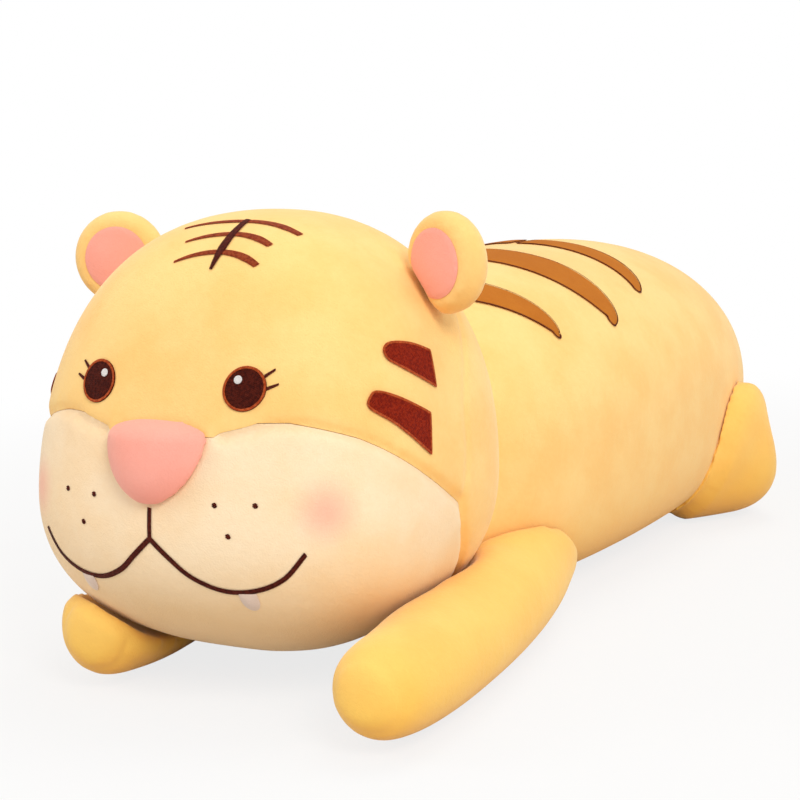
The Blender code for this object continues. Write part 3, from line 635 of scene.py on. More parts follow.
def skin_from(name, rings, start, end):
    """One closed skin of quads over rings of points, with a pole at each end."""
    shape = bmesh.new()
    first = shape.verts.new(start)
    last = shape.verts.new(end)
    loops = [[shape.verts.new(point) for point in ring] for ring in rings]
    count = len(rings[0])
    for index in range(count):
        after = (index + 1) % count
        shape.faces.new((first, loops[0][after], loops[0][index]))
        shape.faces.new((last, loops[-1][index], loops[-1][after]))
        for near, far in zip(loops, loops[1:]):
            shape.faces.new((near[index], near[after], far[after], far[index]))
    return from_bmesh(name, shape)


def prism(name, outline, place, across, upward, depth):
    """Extrude a flat outline, given across and upward from place, by depth."""
    forward = across.cross(upward)
    near = [place + across * u + upward * v for u, v in outline]
    shape = bmesh.new()
    near_verts = [shape.verts.new(point) for point in near]
    far_verts = [shape.verts.new(point + forward * depth) for point in near]
    shape.faces.new(near_verts)
    shape.faces.new(far_verts[::-1])
    for index in range(len(near)):
        after = (index + 1) % len(near)
        shape.faces.new((near_verts[after], near_verts[index], far_verts[index], far_verts[after]))
    return from_bmesh(name, shape)


def settle(item):
    """Turn an object with modifiers into a plain mesh."""
    bpy.context.view_layer.update()
    evaluated = item.evaluated_get(bpy.context.evaluated_depsgraph_get())
    result = bpy.data.meshes.new_from_object(evaluated)
    item.modifiers.clear()
    item.data = result


def combine(item, tool, operation):
    modifier = item.modifiers.new("Cut", "BOOLEAN")
    modifier.operation = operation
    modifier.object = tool
    modifier.solver = "EXACT"
    settle(item)


def cut(item, tool):
    combine(item, tool, "DIFFERENCE")


def vectors_of(item, kind):
    flat = np.empty(len(item.data.vertices) * 3)
    item.data.vertices.foreach_get(kind, flat)
    return flat.reshape(-1, 3)


def places_of(item):
    return vectors_of(item, "co")


def normals_of(item):
    return vectors_of(item, "normal")


def set_places(item, places):
    item.data.vertices.foreach_set("co", np.ascontiguousarray(places, float).ravel())
    item.data.update()


def skin_tree(*items, centre=None):
    """A search tree over the items' faces, or over those alone that face away from a centre."""
    places, faces = [], []
    for item in items:
        start = len(places)
        places.extend(vertex.co.copy() for vertex in item.data.vertices)
        faces.extend(
            [start + index for index in face.vertices] for face in item.data.polygons
            if centre is None
            or face.normal.dot((face.center - centre).normalized()) > OUTER_FACE_SHARE
        )
    return BVHTree.FromPolygons(places, faces)


def line_tree(points):
    tree = KDTree(len(points))
    for index, point in enumerate(points):
        tree.insert(point, index)
    tree.balance()
    return tree


def distances(places, tree):
    """Distance of each place from a line's points."""
    return np.array([tree.find(place)[2] for place in places])


def press(item, tree, width, depth):
    """Press a soft groove into a cover along a line."""
    places = places_of(item)
    away = distances(places, tree) / width
    set_places(item, places - normals_of(item) * (depth * np.exp(-away ** 2))[:, None])


def smooth(item):
    item.data.shade_smooth()
    item.data.set_sharp_from_angle(angle=radians(50.0))


# Forms of the soft parts


def bulk(share, squareness):
    return max(0.0, 1.0 - abs(share) ** squareness) ** (1.0 / squareness)


def heading(turn, rise):
    """Direction from the head's centre: turn from straight ahead to the left, then rise."""
    return Vector((
        cos(radians(rise)) * sin(radians(turn)),
        -cos(radians(rise)) * cos(radians(turn)),
        sin(radians(rise)),
    ))


def head_reach(directions):
    """Distances from the head's centre to its skin, along an array of unit directions."""
    x, y, z = np.asarray(directions, float).reshape(-1, 3).T
    depth = np.where(y < 0.0, HEAD_FRONT_DEPTH, HEAD_BACK_DEPTH)
    height = np.where(z > 0.0, HEAD_CROWN_HEIGHT, HEAD_CHIN_HEIGHT)
    plan = (
        np.abs(x / HEAD_HALF_WIDTH) ** HEAD_PLAN_SQUARENESS
        + np.abs(y / depth) ** HEAD_PLAN_SQUARENESS
    ) ** (1.0 / HEAD_PLAN_SQUARENESS)
    side = plan ** HEAD_SIDE_SQUARENESS + np.abs(z / height) ** HEAD_SIDE_SQUARENESS
    offset = (z - MUZZLE_BULGE_RISE_SHARE) / MUZZLE_BULGE_SPREAD_SHARE
    bulge = MUZZLE_BULGE_SHARE * np.exp(-offset ** 2) * np.maximum(0.0, -y) ** 2
    return side ** (-1.0 / HEAD_SIDE_SQUARENESS) * (1.0 + bulge)


def swept_reach(directions):
    """The furthest that the head reaches along each direction while it nods."""
    x, y, z = np.asarray(directions, float).reshape(-1, 3).T
    reaches = []
    for angle in np.radians(np.linspace(-HEAD_NOD, HEAD_NOD, 7)):
        turned = np.stack([x, y * cos(angle) + z * sin(angle), z * cos(angle) - y * sin(angle)], 1)
        reaches.append(head_reach(turned))
    return np.max(reaches, axis=0)


def head_form(name, reach=head_reach, grow=0.0, columns=96, rows=64):
    """The head's skin at its reach along each direction, grown all round."""
    rings = []
    for row in range(1, rows):
        rise = -90.0 + 180.0 * row / rows
        headings = [heading(360.0 * column / columns, rise) for column in range(columns)]
        reaches = reach(headings) + grow
        rings.append([HEAD_CENTRE + way * far for way, far in zip(headings, reaches)])
    low, high = reach([-Z_AXIS, Z_AXIS]) + grow
    return skin_from(name, rings, HEAD_CENTRE - Z_AXIS * low, HEAD_CENTRE + Z_AXIS * high)


def cut_by_head(item, reach=head_reach):
    """Cut away what lies inside the head, or closer to it than the gap."""
    head = head_form("obstacle", reach, GAP)
    cut(item, head)
    discard(head)


def on_head(direction):
    return HEAD_CENTRE + direction * float(head_reach([direction])[0])


def superellipse(angle, power):
    """Reach of a unit superellipse at an angle."""
    return (abs(cos(angle)) ** power + abs(sin(angle)) ** power) ** (-1.0 / power)


def turned(name, rows, columns, point, start, end):
    """A closed skin, from a point for each row's share of the way and each column's angle."""
    shares = [-cos(pi * row / rows) for row in range(1, rows)]
    angles = [2.0 * pi * column / columns for column in range(columns)]
    rings = [[point(share, angle) for angle in angles] for share in shares]
    return skin_from(name, rings, start, end)


def body_form(name, grow=0.0):
    """A long barrel with a slightly narrower chest, flat along its belly."""
    length = BODY_HALF_LENGTH + grow

    def point(along, angle):
        share = bulk(along, BODY_END_SQUARENESS)
        taper = BODY_SHOULDER_SHARE + (1.0 - BODY_SHOULDER_SHARE) * min(1.0, 1.0 + along)
        width = (BODY_HALF_WIDTH * taper + grow) * share
        height = (BODY_HEIGHT / 2 + grow) * share
        sag = (1.0 - share) * BODY_SAG_SHARE * BODY_HEIGHT
        side, top = sin(angle), cos(angle)
        size = superellipse(angle, BODY_TOP_SQUARENESS if top > 0.0 else BODY_LOW_SQUARENESS)
        return BODY_CENTRE + Vector((
            width * side * size, length * along, height * top * size - sag))

    drop = Z_AXIS * (BODY_SAG_SHARE * BODY_HEIGHT)
    front = BODY_CENTRE - Y_AXIS * length - drop
    return turned(name, 72, 96, point, front, front + Y_AXIS * (2.0 * length))


def plan_place(shares):
    return shares[0] * BODY_HALF_WIDTH, BODY_MIDDLE_BACK + shares[1] * BODY_HALF_LENGTH


def turned_point(place, pivot, degrees):
    offset = Vector((place[0] - pivot[0], place[1] - pivot[1]))
    offset.rotate(Matrix.Rotation(radians(degrees), 2))
    return pivot[0] + offset.x, pivot[1] + offset.y


def quadratic(values, t):
    start, middle, end = values
    return start * (1 - t) * (1 - 2 * t) + middle * 4 * t * (1 - t) + end * t * (2 * t - 1)


class Limb:
    """A tube along three places on the floor's plan, with its own half size at each."""

    def __init__(self, path, radii, squareness, side="left"):
        mirror = SIDES[side]
        self.radii = radii
        self.squareness = squareness
        self.stations = [
            Vector((x * mirror, y, radius + LEG_FLOOR_GAP)) for (x, y), radius in zip(path, radii)
        ]

    def slope(self, t):
        start, middle, end = self.stations
        return (start * (4 * t - 3) + middle * (4 - 8 * t) + end * (4 * t - 1)).normalized()

    def ring(self, t, columns):
        """Points round the limb at a share t of its way from root to tip."""
        forward = self.slope(t)
        side = forward.cross(Z_AXIS).normalized()
        up = side.cross(forward)
        size = quadratic(self.radii, t) * bulk(2.0 * t - 1.0, self.squareness)
        centre = quadratic(self.stations, t)
        angles = [2.0 * pi * column / columns for column in range(columns)]
        return [centre + side * (size * cos(a)) + up * (size * sin(a)) for a in angles]

    def form(self, name, columns=56, rows=56):
        """The limb's whole skin."""
        shares = [(1.0 - cos(pi * row / rows)) / 2.0 for row in range(1, rows)]
        rings = [self.ring(t, columns) for t in shares]
        return skin_from(name, rings, self.stations[0], self.stations[-1])


def front_leg(side):
    turn = FRONT_REST_TURNS[side]
    back = FRONT_REST_BACK_SHARES[side] * BODY_HALF_LENGTH
    hinge = plan_place(FRONT_HINGE_SHARES)
    path = [turned_point(plan_place(place), hinge, turn) for place in FRONT_PATH_SHARES]
    path = [(x, y + back) for x, y in path]
    radii = [FRONT_RADIUS * share for share in FRONT_RADIUS_SHARES]
    return Limb(path, radii, FRONT_END_SQUARENESS, side)


def hind_leg(side):
    path = [plan_place(place) for place in HIND_PATH_SHARES]
    radii = [HIND_RADIUS * share for share in HIND_RADIUS_SHARES]
    return Limb(path, radii, HIND_END_SQUARENESS, side)


def tail_limb():
    rear = BODY_MIDDLE_BACK + BODY_HALF_LENGTH
    curl = [(x * TAIL_LENGTH, rear + y * TAIL_LENGTH) for x, y in TAIL_CURL_SHARES]
    path = [(0.0, rear - TAIL_ROOT_SHARE * BODY_HALF_LENGTH), *curl]
    radii = [TAIL_RADIUS * share for share in TAIL_RADIUS_SHARES]
    return Limb(path, radii, TAIL_END_SQUARENESS)


def ear_frame(side):
    """Place of an ear's root on the head, and its outward and along directions."""
    mirror = SIDES[side]
    direction = heading(EAR_TURN * mirror, EAR_RISE)
    outward = Vector((mirror * cos(radians(EAR_LEAN)), 0.0, sin(radians(EAR_LEAN))))
    inward = Matrix.Rotation(radians(-EAR_INWARD * mirror), 3, Z_AXIS)
    return on_head(direction), inward @ outward, inward @ Y_AXIS.cross(outward)


def ear_centre(side):
    root, outward, along = ear_frame(side)
    return root + outward * EAR_CENTRE_OUT - along * (EAR_CENTRE_UP * SIDES[side])


def ear_form(name, side):
    """A round, flat ear, dished in front inside its rim."""
    centre = ear_centre(side)
    _, outward, along = ear_frame(side)
    backward = outward.cross(along)
    deepest = settings().ear_dish

    def point(share, angle):
        size = bulk(share, EAR_SQUARENESS)
        depth = EAR_HALF_THICKNESS * share
        if share > 0.0:
            inward = EAR_PANEL_SHARE + EAR_DISH_REACH - size
            dish = min(1.0, max(0.0, inward / EAR_DISH_SLOPE))
            depth -= deepest * dish * dish * (3.0 - 2.0 * dish)
        return (
            centre - backward * depth
            + outward * (EAR_RADIUS * size * cos(angle))
            + along * (EAR_RADIUS * size * sin(angle))
        )

    depth = backward * EAR_HALF_THICKNESS
    return turned(name, 40, 64, point, centre + depth, centre - depth + backward * deepest)


def head_front(level):
    """Place on the front of the head, on its middle plane, at a level above its centre."""
    aim = level
    for _ in range(8):
        direction = Vector((0.0, -HEAD_FRONT_DEPTH, aim)).normalized()
        aim += level - (on_head(direction) - HEAD_CENTRE).z
    return on_head(direction)


def nose_form(name):
    """A rounded triangle that swells out of the head's front."""
    high = head_front(NOSE_LIFT + NOSE_RISE)
    low = head_front(NOSE_LIFT - NOSE_DROP)
    slope = (high.y - low.y) / (high.z - low.z)
    seat = Vector((0.0, low.y + slope * NOSE_DROP + NOSE_SEAT, HEAD_CENTRE.z + NOSE_LIFT))

    def point(share, angle):
        upper = sin(angle) > 0.0
        size = bulk(share, 2.0)
        level = NOSE_RISE if upper else NOSE_DROP
        reach = superellipse(angle, NOSE_TOP_SQUARENESS if upper else NOSE_LOW_SQUARENESS)
        rise = level * size * reach * sin(angle)
        out = NOSE_HALF_WIDTH * size * reach * cos(angle)
        return seat + Vector((out, slope * rise - NOSE_SWELL * share, rise))

    swell = Y_AXIS * NOSE_SWELL
    return turned(name, 36, 72, point, seat + swell, seat - swell)


# Stuffing


def remeshed(item, voxel):
    """Even quads of one size over the whole cover, laid back on its own skin."""
    tree = skin_tree(item)
    modifier = item.modifiers.new("Even", "REMESH")
    modifier.mode = "VOXEL"
    modifier.voxel_size = voxel
    settle(item)
    for rounds in (3, 2, 0):
        places = [tree.find_nearest(Vector(place))[0] for place in places_of(item)]
        set_places(item, np.array(places))
        relax(item, np.ones(len(places)), rounds)


def swell(item, held, room, least):
    """Blow a cover up as cloth under pressure.

    Each point that isn't held moves outward by its own room at most, and by its least share of
    that room at least. Where cloth moves as far as it usually does, it fills its room.
    """
    group = item.vertex_groups.new(name="held")
    group.add([int(index) for index in np.flatnonzero(held)], 1.0, "REPLACE")
    modifier = item.modifiers.new("Stuffing", "CLOTH")
    cloth = modifier.settings
    cloth.quality = CLOTH_QUALITY
    cloth.tension_stiffness = cloth.compression_stiffness = CLOTH_STIFFNESS
    cloth.use_pressure = True
    cloth.uniform_pressure_force = CLOTH_PRESSURE
    cloth.effector_weights.gravity = 0.0
    cloth.vertex_group_mass = "held"
    modifier.point_cache.frame_start = 1
    modifier.point_cache.frame_end = CLOTH_FRAMES
    start, normals = places_of(item), normals_of(item)
    scene = bpy.context.scene
    for step in range(1, CLOTH_FRAMES + 1):
        scene.frame_set(step)
    settle(item)
    scene.frame_set(1)
    item.vertex_groups.clear()
    move = ((places_of(item) - start) * normals).sum(axis=1)
    usual = max(float(np.percentile(move[~held], USUAL_PERCENTILE)), room.max() / 50.0)
    share = np.where(held, 0.0, np.maximum(np.clip(move / usual, 0.0, 1.0), least))
    set_places(item, start + normals * (room * share)[:, None])


def evened(item, values, weights, rounds):
    """Values at a mesh's points, each drawn to the mean of its neighbours by its weight."""
    edges = np.empty(len(item.data.edges) * 2, int)
    item.data.edges.foreach_get("vertices", edges)
    first, second = edges.reshape(-1, 2).T
    counts = np.bincount(edges, minlength=len(values))[:, None]
    for _ in range(rounds):
        total = np.zeros_like(values)
        np.add.at(total, first, values[second])
        np.add.at(total, second, values[first])
        values = values + (total / counts - values) * weights[:, None]
    return values


def relax(item, weights, rounds):
    """Even a mesh out, each point towards the middle of its neighbours by its weight."""
    set_places(item, evened(item, places_of(item), weights, rounds))


def stuffed(item, voxel, neighbours=(), seams=(), reach=FULL_REACH, flare=0.0, hip=0.0):
    """Make a cover padded: shrink it, hold its seams and edges, and let the stuffing fill it.

    Each neighbour gives the distances of places from what the cover is sewn or pressed to.
    The cover has its full swell from reach away. Beside it the cover spreads by flare, and its
    upper side also rises by hip.
    """
    remeshed(item, voxel)
    places = places_of(item)
    away = np.full(len(places), FAR)
    for distance in neighbours:
        away = np.minimum(away, distance(places))
    held = away < HELD_REACH
    room = settings().swell * np.clip((away - HELD_REACH) / reach, 0.0, 1.0)
    beside = np.full(len(places), FAR)
    for tree in seams:
        beside = np.minimum(beside, distances(places, tree))
    sewn = beside < voxel * 0.8
    set_places(item, places - normals_of(item) * room[:, None])
    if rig.quick():
        set_places(item, np.where(sewn[:, None], places_of(item), places))
    else:
        least = np.clip(beside / SEAM_FULL_REACH, 0.0, 1.0) ** 0.5 * LEAST_SWELL_SHARE
        swell(item, held | sewn, room, least)
    relax(item, np.where(sewn, 0.0, 0.5), 3)
    if neighbours:
        near = np.clip(1.0 - away / reach, 0.0, 1.0)
        relax(item, near * 0.6, 10)
        normals = normals_of(item)
        wide = np.clip(1.0 - away / (reach * FLARE_REACH_SHARE), 0.0, 1.0) ** 2
        rise = np.clip(1.0 - away / (reach * HIP_REACH_SHARE), 0.0, 1.0) ** 1.5
        spread = flare * wide + hip * rise * np.clip(normals[:, 2] + 0.3, 0.0, 1.0)
        spread = evened(item, normals * spread[:, None], np.full(len(places), 0.8), 6)
        set_places(item, places_of(item) + spread)
        relax(item, near * 0.5, 6)
    modifier = item.modifiers.new("Fine", "SUBSURF")
    modifier.levels = modifier.render_levels = 1
    settle(item)


def from_tree(tree, limit=0.04):
    """Gives the distances of places from a tree's faces, up to a limit."""
    def measure(places):
        found = (tree.find_nearest(Vector(place), limit)[3] for place in places)
        return np.array([limit if distance is None else distance for distance in found])
    return measure


def head_rays(places):
    """Distances and unit directions of places from the head's centre."""
    rays = places - np.array(HEAD_CENTRE)
    far = np.linalg.norm(rays, axis=1)
    return far, rays / far[:, None]


def from_head(reach):
    """Gives how far places are from the head's skin, along their rays from its centre."""
    def measure(places):
        far, ways = head_rays(places)
        return np.abs(far - reach(ways))
    return measure


def clear_of_head(item, reach, gap):
    """Push what lies inside the head out to its skin."""
    far, ways = head_rays(places_of(item))
    set_places(item, np.array(HEAD_CENTRE) + ways * np.maximum(far, reach(ways) + gap)[:, None])


def clear_of_skin(item, tree, gap, fillet=0.0):
    """Push what lies inside a neighbour, or closer than the gap, out of its skin.

    What faces away from the neighbour stays three times as far. Within the fillet's height the
    item is laid down towards the skin in a hollow curve.
    """
    places, normals = places_of(item), normals_of(item)
    for index, place in enumerate(places):
        found, normal, _, _ = tree.find_nearest(Vector(place), max(gap * 20.0, fillet))
        if found is not None:
            height = (Vector(place) - found).dot(normal)
            least = gap * 3.0 if Vector(normals[index]).dot(normal) > 0.0 else gap
            laid = height * height / fillet if 0.0 < height < fillet else height
            wanted = max(laid, least)
            if wanted != height:
                places[index] = found + normal * wanted
    set_places(item, places)


def clear_of_floor(item, level):
    """Raise what lies lower than a level up to it."""
    places = places_of(item)
    places[:, 2] = np.maximum(places[:, 2], level)
    set_places(item, places)


def dressed(item, material):
    """Give every face of an item one material."""
    item.data.materials.clear()
    item.data.materials.append(finish_of(material))
    item.data.polygons.foreach_set("material_index", [0] * len(item.data.polygons))
    return item


def padded(item, material, fill, slot, *nodes):
    """Finish a padded piece that stands for the given solids."""
    smooth(dressed(item, material))
    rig.replaces(item, *nodes)
    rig.slot(item, slot)
    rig.padded(item, fill=fill)


# Lines and outlines on a skin


class View:
    """A flat view of a skin: outlines drawn in it are dropped onto the skin."""

    def __init__(self, place, across, upward, tree):
        self.place, self.across, self.upward = place, across, upward
        self.forward = across.cross(upward)
        self.tree = tree

    def drop(self, point, height=0.0):
        """Place on the skin behind a point of the view, raised by height, and its normal."""
        start = self.place + self.across * point[0] + self.upward * point[1]
        start += self.forward * FAR
        place, normal, _, _ = self.tree.ray_cast(start, -self.forward)
        if place is None:
            raise RuntimeError("an outline runs off the skin")
        return place + normal * height, normal

    def mirrored(self):
        """The same view of the other side."""
        flip = Matrix.Scale(-1.0, 3, X_AXIS)
        return View(flip @ self.place, -(flip @ self.across), flip @ self.upward, self.tree)


def head_items():
    """The two covers that make up the head's skin."""
    return bpy.data.objects["head_plush"], bpy.data.objects["muzzle_plush"]


def head_skin():
    """A tree of the head's outer faces, without the walls along the muzzle seam."""
    return skin_tree(*head_items(), centre=HEAD_CENTRE)


def head_view(turn, rise, side="left"):
    """The view of the head from a turn and a rise, or its mirror image for the right side."""
    across = Vector((cos(radians(turn)), sin(radians(turn)), 0.0))
    tree = skin_tree(*head_items())
    view = View(HEAD_CENTRE, across, heading(turn, rise).cross(across), tree)
    return view if side == "left" else view.mirrored()


def flipped(points, side):
    """Points of a left view, as they lie in the mirrored view of the right side."""
    return [Vector((point[0] * SIDES[side], point[1])) for point in points]


def smooth_path(places, steps):
    """Points on a smooth curve through the places."""
    points = []
    last = len(places) - 1
    for index in range(last):
        before = Vector(places[max(0, index - 1)])
        start = Vector(places[index])
        end = Vector(places[index + 1])
        after = Vector(places[min(last, index + 2)])
        for step in range(steps):
            t = step / steps
            points.append((
                start * 2.0
                + (end - before) * t
                + (before * 2.0 - start * 5.0 + end * 4.0 - after) * t ** 2
                + (start * 3.0 - before - end * 3.0 + after) * t ** 3
            ) * 0.5)
    points.append(Vector(places[last]))
    return points


def evenly(points, spacing, closed=False):
    """Points at an even spacing along a line."""
    line = [Vector(point) for point in points]
    if closed:
        line.append(line[0].copy())
    lengths = [(after - before).length for before, after in zip(line, line[1:])]
    total = sum(lengths)
    count = max(2, round(total / spacing))
    marks = np.linspace(0.0, total, count + 1)
    edges = np.concatenate([[0.0], np.cumsum(lengths)])
    parts = [np.interp(marks, edges, values) for values in zip(*line)]
    result = [Vector(values) for values in zip(*parts)]
    return result[:-1] if closed else result


def circle(radius, sides, across=0.0, upward=0.0):
    steps = [2.0 * pi * step / sides for step in range(sides)]
    return [Vector((across + radius * cos(a), upward + radius * sin(a))) for a in steps]


def inside(point, outline):
    """Whether a flat point lies inside an outline."""
    x, y = point
    count = 0
    for start, end in zip(outline, outline[1:] + outline[:1]):
        if (start[1] > y) != (end[1] > y):
            count += x < start[0] + (y - start[1]) * (end[0] - start[0]) / (end[1] - start[1])
    return count % 2 == 1


def patch(name, outline, view, height, spacing=0.0022, edge=0.0012, low=0.0001):
    """A thin closed layer of an outline's shape on a skin, rounded down at its edge."""
    rim = evenly(outline, spacing, closed=True)
    xs, ys = [p.x for p in rim], [p.y for p in rim]
    grid = []
    for row, y in enumerate(np.arange(min(ys), max(ys), spacing * 0.87)):
        for x in np.arange(min(xs) + spacing / 2 * (row % 2), max(xs), spacing):
            point = Vector((x, y))
            nearest = min((point - other).length for other in rim)
            if inside(point, rim) and nearest > spacing * 0.5:
                grid.append((point, nearest))
    points = rim + [point for point, _ in grid]
    away = [0.0] * len(rim) + [nearest for _, nearest in grid]
    edges = [(index, (index + 1) % len(rim)) for index in range(len(rim))]
    flat, _, faces, origins, _, _ = delaunay_2d_cdt(points, edges, [], 1, spacing * 0.01)
    shape = bmesh.new()
    tops, lows = [], []
    for point, origin in zip(flat, origins):
        rise = 1.0 - np.exp(-(away[origin[0]] if origin else 0.0) / edge)
        tops.append(shape.verts.new(view.drop(point, low + height * (0.25 + 0.75 * rise))[0]))
        lows.append(shape.verts.new(view.drop(point, low)[0]))
    border = {}
    for face in faces:
        shape.faces.new([tops[index] for index in face])
        shape.faces.new([lows[index] for index in reversed(face)])
        for start, end in zip(face, face[1:] + face[:1]):
            border[(start, end)] = True
    for start, end in list(border):
        if (end, start) not in border:
            shape.faces.new((tops[end], tops[start], lows[start], lows[end]))
    item = from_bmesh(name, shape)
    smooth(item)
    return item


# Stitches


def across_line(points, half_widths, slant=0.0):
    """Satin stitches square across a line, as (centre, run, length) in its view."""
    stitches = []
    for index, point in enumerate(points):
        ahead = points[min(index + 1, len(points) - 1)]
        behind = points[max(index - 1, 0)]
        run = (ahead - behind).normalized()
        run.rotate(Matrix.Rotation(radians(90.0 - slant), 2))
        stitches.append((point, run, half_widths[index] * 2.0))
    return stitches


def around_line(outline, width, pitch, slant=8.0):
    """Satin stitches across the edge of a closed outline."""
    points = evenly(outline, pitch, closed=True)
    count = len(points)
    stitches = []
    for index, point in enumerate(points):
        run = (points[(index + 1) % count] - points[index - 1]).normalized()
        run.rotate(Matrix.Rotation(radians(90.0 - slant), 2))
        stitches.append((point, run, width))
    return stitches


def filled(outline, pitch, length, degrees):
    """Rows of fill stitches over an outline, each row set back from the one before."""
    turn = Matrix.Rotation(radians(-degrees), 2)
    back = turn.inverted()
    flat = [turn @ Vector(point) for point in outline]
    ys = [point.y for point in flat]
    stitches = []
    for row, y in enumerate(np.arange(min(ys) + pitch / 2, max(ys), pitch)):
        crossings = sorted(
            start.x + (y - start.y) * (end.x - start.x) / (end.y - start.y)
            for start, end in zip(flat, flat[1:] + flat[:1])
            if (start.y > y) != (end.y > y)
        )
        for low, high in zip(crossings[::2], crossings[1::2]):
            first = low - length * ((row * 0.37) % 1.0)
            for start in np.arange(first, high, length):
                a, b = max(start, low), min(start + length, high)
                if b - a > pitch:
                    stitches.append((back @ Vector(((a + b) / 2, y)), back @ Vector((1, 0)), b - a))
    return stitches


def thread_tree(name):
    """Geometry nodes that lay a short, round-ended thread on each point."""
    tree = bpy.data.node_groups.new(name, "GeometryNodeTree")
    face = tree.interface
    face.new_socket("Geometry", in_out="INPUT", socket_type="NodeSocketGeometry")
    for label, kind in (
        ("Thread Width", "NodeSocketFloat"), ("Thread Height", "NodeSocketFloat"),
        ("Unevenness", "NodeSocketFloat"), ("Seed", "NodeSocketInt"),
        ("Material", "NodeSocketMaterial"),
    ):
        face.new_socket(label, in_out="INPUT", socket_type=kind)
    face.new_socket("Geometry", in_out="OUTPUT", socket_type="NodeSocketGeometry")

    def node(kind, options=None, **links):
        made = tree.nodes.new(kind)
        for option, value in (options or {}).items():
            setattr(made, option, value)
        for socket, value in links.items():
            target = made.inputs[int(socket[1:]) if socket[0] == "_" else socket]
            if isinstance(value, bpy.types.NodeSocket):
                tree.links.new(value, target)
            else:
                target.default_value = value
        return made

    def attribute(label, kind):
        return node("GeometryNodeInputNamedAttribute", {"data_type": kind}, Name=label).outputs[0]

    def maths(operation, first, second):
        return node("ShaderNodeMath", {"operation": operation}, _0=first, _1=second).outputs[0]

    given = node("NodeGroupInput").outputs
    ball = node("GeometryNodeMeshUVSphere", None, Segments=6, Rings=5, Radius=0.5).outputs[0]
    along = attribute("along", "FLOAT_VECTOR")
    normal = attribute("upward", "FLOAT_VECTOR")
    length = attribute("length", "FLOAT")
    first = node("FunctionNodeAlignRotationToVector", {"axis": "Z"}, Vector=along).outputs[0]
    turn = node(
        "FunctionNodeAlignRotationToVector", {"axis": "Y", "pivot_axis": "Z"},
        Rotation=first, Vector=normal).outputs[0]
    low = maths("SUBTRACT", 1.0, given["Unevenness"])
    high = maths("ADD", 1.0, given["Unevenness"])
    random = node(
        "FunctionNodeRandomValue", {"data_type": "FLOAT"},
        _2=low, _3=high, Seed=given["Seed"]).outputs[1]
    height = maths("MULTIPLY", given["Thread Height"], random)
    size = node("ShaderNodeCombineXYZ", None, X=given["Thread Width"], Y=height, Z=length)
    laid = node(
        "GeometryNodeInstanceOnPoints", None, Points=given["Geometry"], Instance=ball,
        Rotation=turn, Scale=size.outputs[0])
    real = node("GeometryNodeRealizeInstances", None, Geometry=laid.outputs[0])
    dressed = node(
        "GeometryNodeSetMaterial", None, Geometry=real.outputs[0], Material=given["Material"])
    out = node("NodeGroupOutput")
    tree.links.new(dressed.outputs[0], out.inputs[0])
    return tree


def sewn(name, stitches, view, material, lift, width=1.25):
    """Lay threads on a skin for a view's stitches, and give them as one mesh."""
    sizes = settings()
    shape = bmesh.new()
    rows = []
    for centre, run, length in stitches:
        place, normal = view.drop(centre, lift)
        along = view.across * run.x + view.upward * run.y
        along = (along - normal * along.dot(normal)).normalized()
        shape.verts.new(place)
        rows.append((along, normal, length))
    mesh = bpy.data.meshes.new(name)
    shape.to_mesh(mesh)
    shape.free()
    for label, kind, part in (("along", "FLOAT_VECTOR", 0), ("upward", "FLOAT_VECTOR", 1)):
        values = [value for row in rows for value in row[part]]
        mesh.attributes.new(label, kind, "POINT").data.foreach_set("vector", values)
    lengths = [row[2] for row in rows]
    mesh.attributes.new("length", "FLOAT", "POINT").data.foreach_set("value", lengths)
    item = add_object(name, mesh)
    modifier = item.modifiers.new("Threads", "NODES")
    modifier.node_group = bpy.data.node_groups.get("threads") or thread_tree("threads")
    values = {
        "Thread Width": sizes.thread_pitch * width,
        "Thread Height": sizes.thread_height,
        "Unevenness": THREAD_UNEVENNESS,
        "Seed": sizes.seed,
        "Material": finish_of(material),
    }
    for socket in modifier.node_group.interface.items_tree:
        if socket.name in values:
            modifier[socket.identifier] = values[socket.name]
    settle(item)
    item.data.shade_smooth()
    return dressed(item, material)


def join(name, *items):
    """Join items into one plain mesh that keeps each one's material."""
    mesh = bpy.data.meshes.new(name)
    shape = bmesh.new()
    for item in items:
        slot = item.data.materials[0]
        if mesh.materials.find(slot.name) < 0:
            mesh.materials.append(slot)
        index = mesh.materials.find(slot.name)
        start = len(shape.faces)
        shape.from_mesh(item.data)
        shape.faces.ensure_lookup_table()
        for face in shape.faces[start:]:
            face.material_index = index
    shape.to_mesh(mesh)
    shape.free()
    discard(*items)
    return add_object(name, mesh)


def trim(name, parts, slot, body, *nodes):
    """Join a trim's parts into one piece that stands for the given solids."""
    piece = join(name, *parts)
    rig.replaces(piece, *nodes)
    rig.slot(piece, slot)
    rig.ride(piece, body)


# Settings


def span(name, description, default, least=0.0):
    return FloatProperty(
        name=name, description=description, default=default, min=least, subtype="DISTANCE")


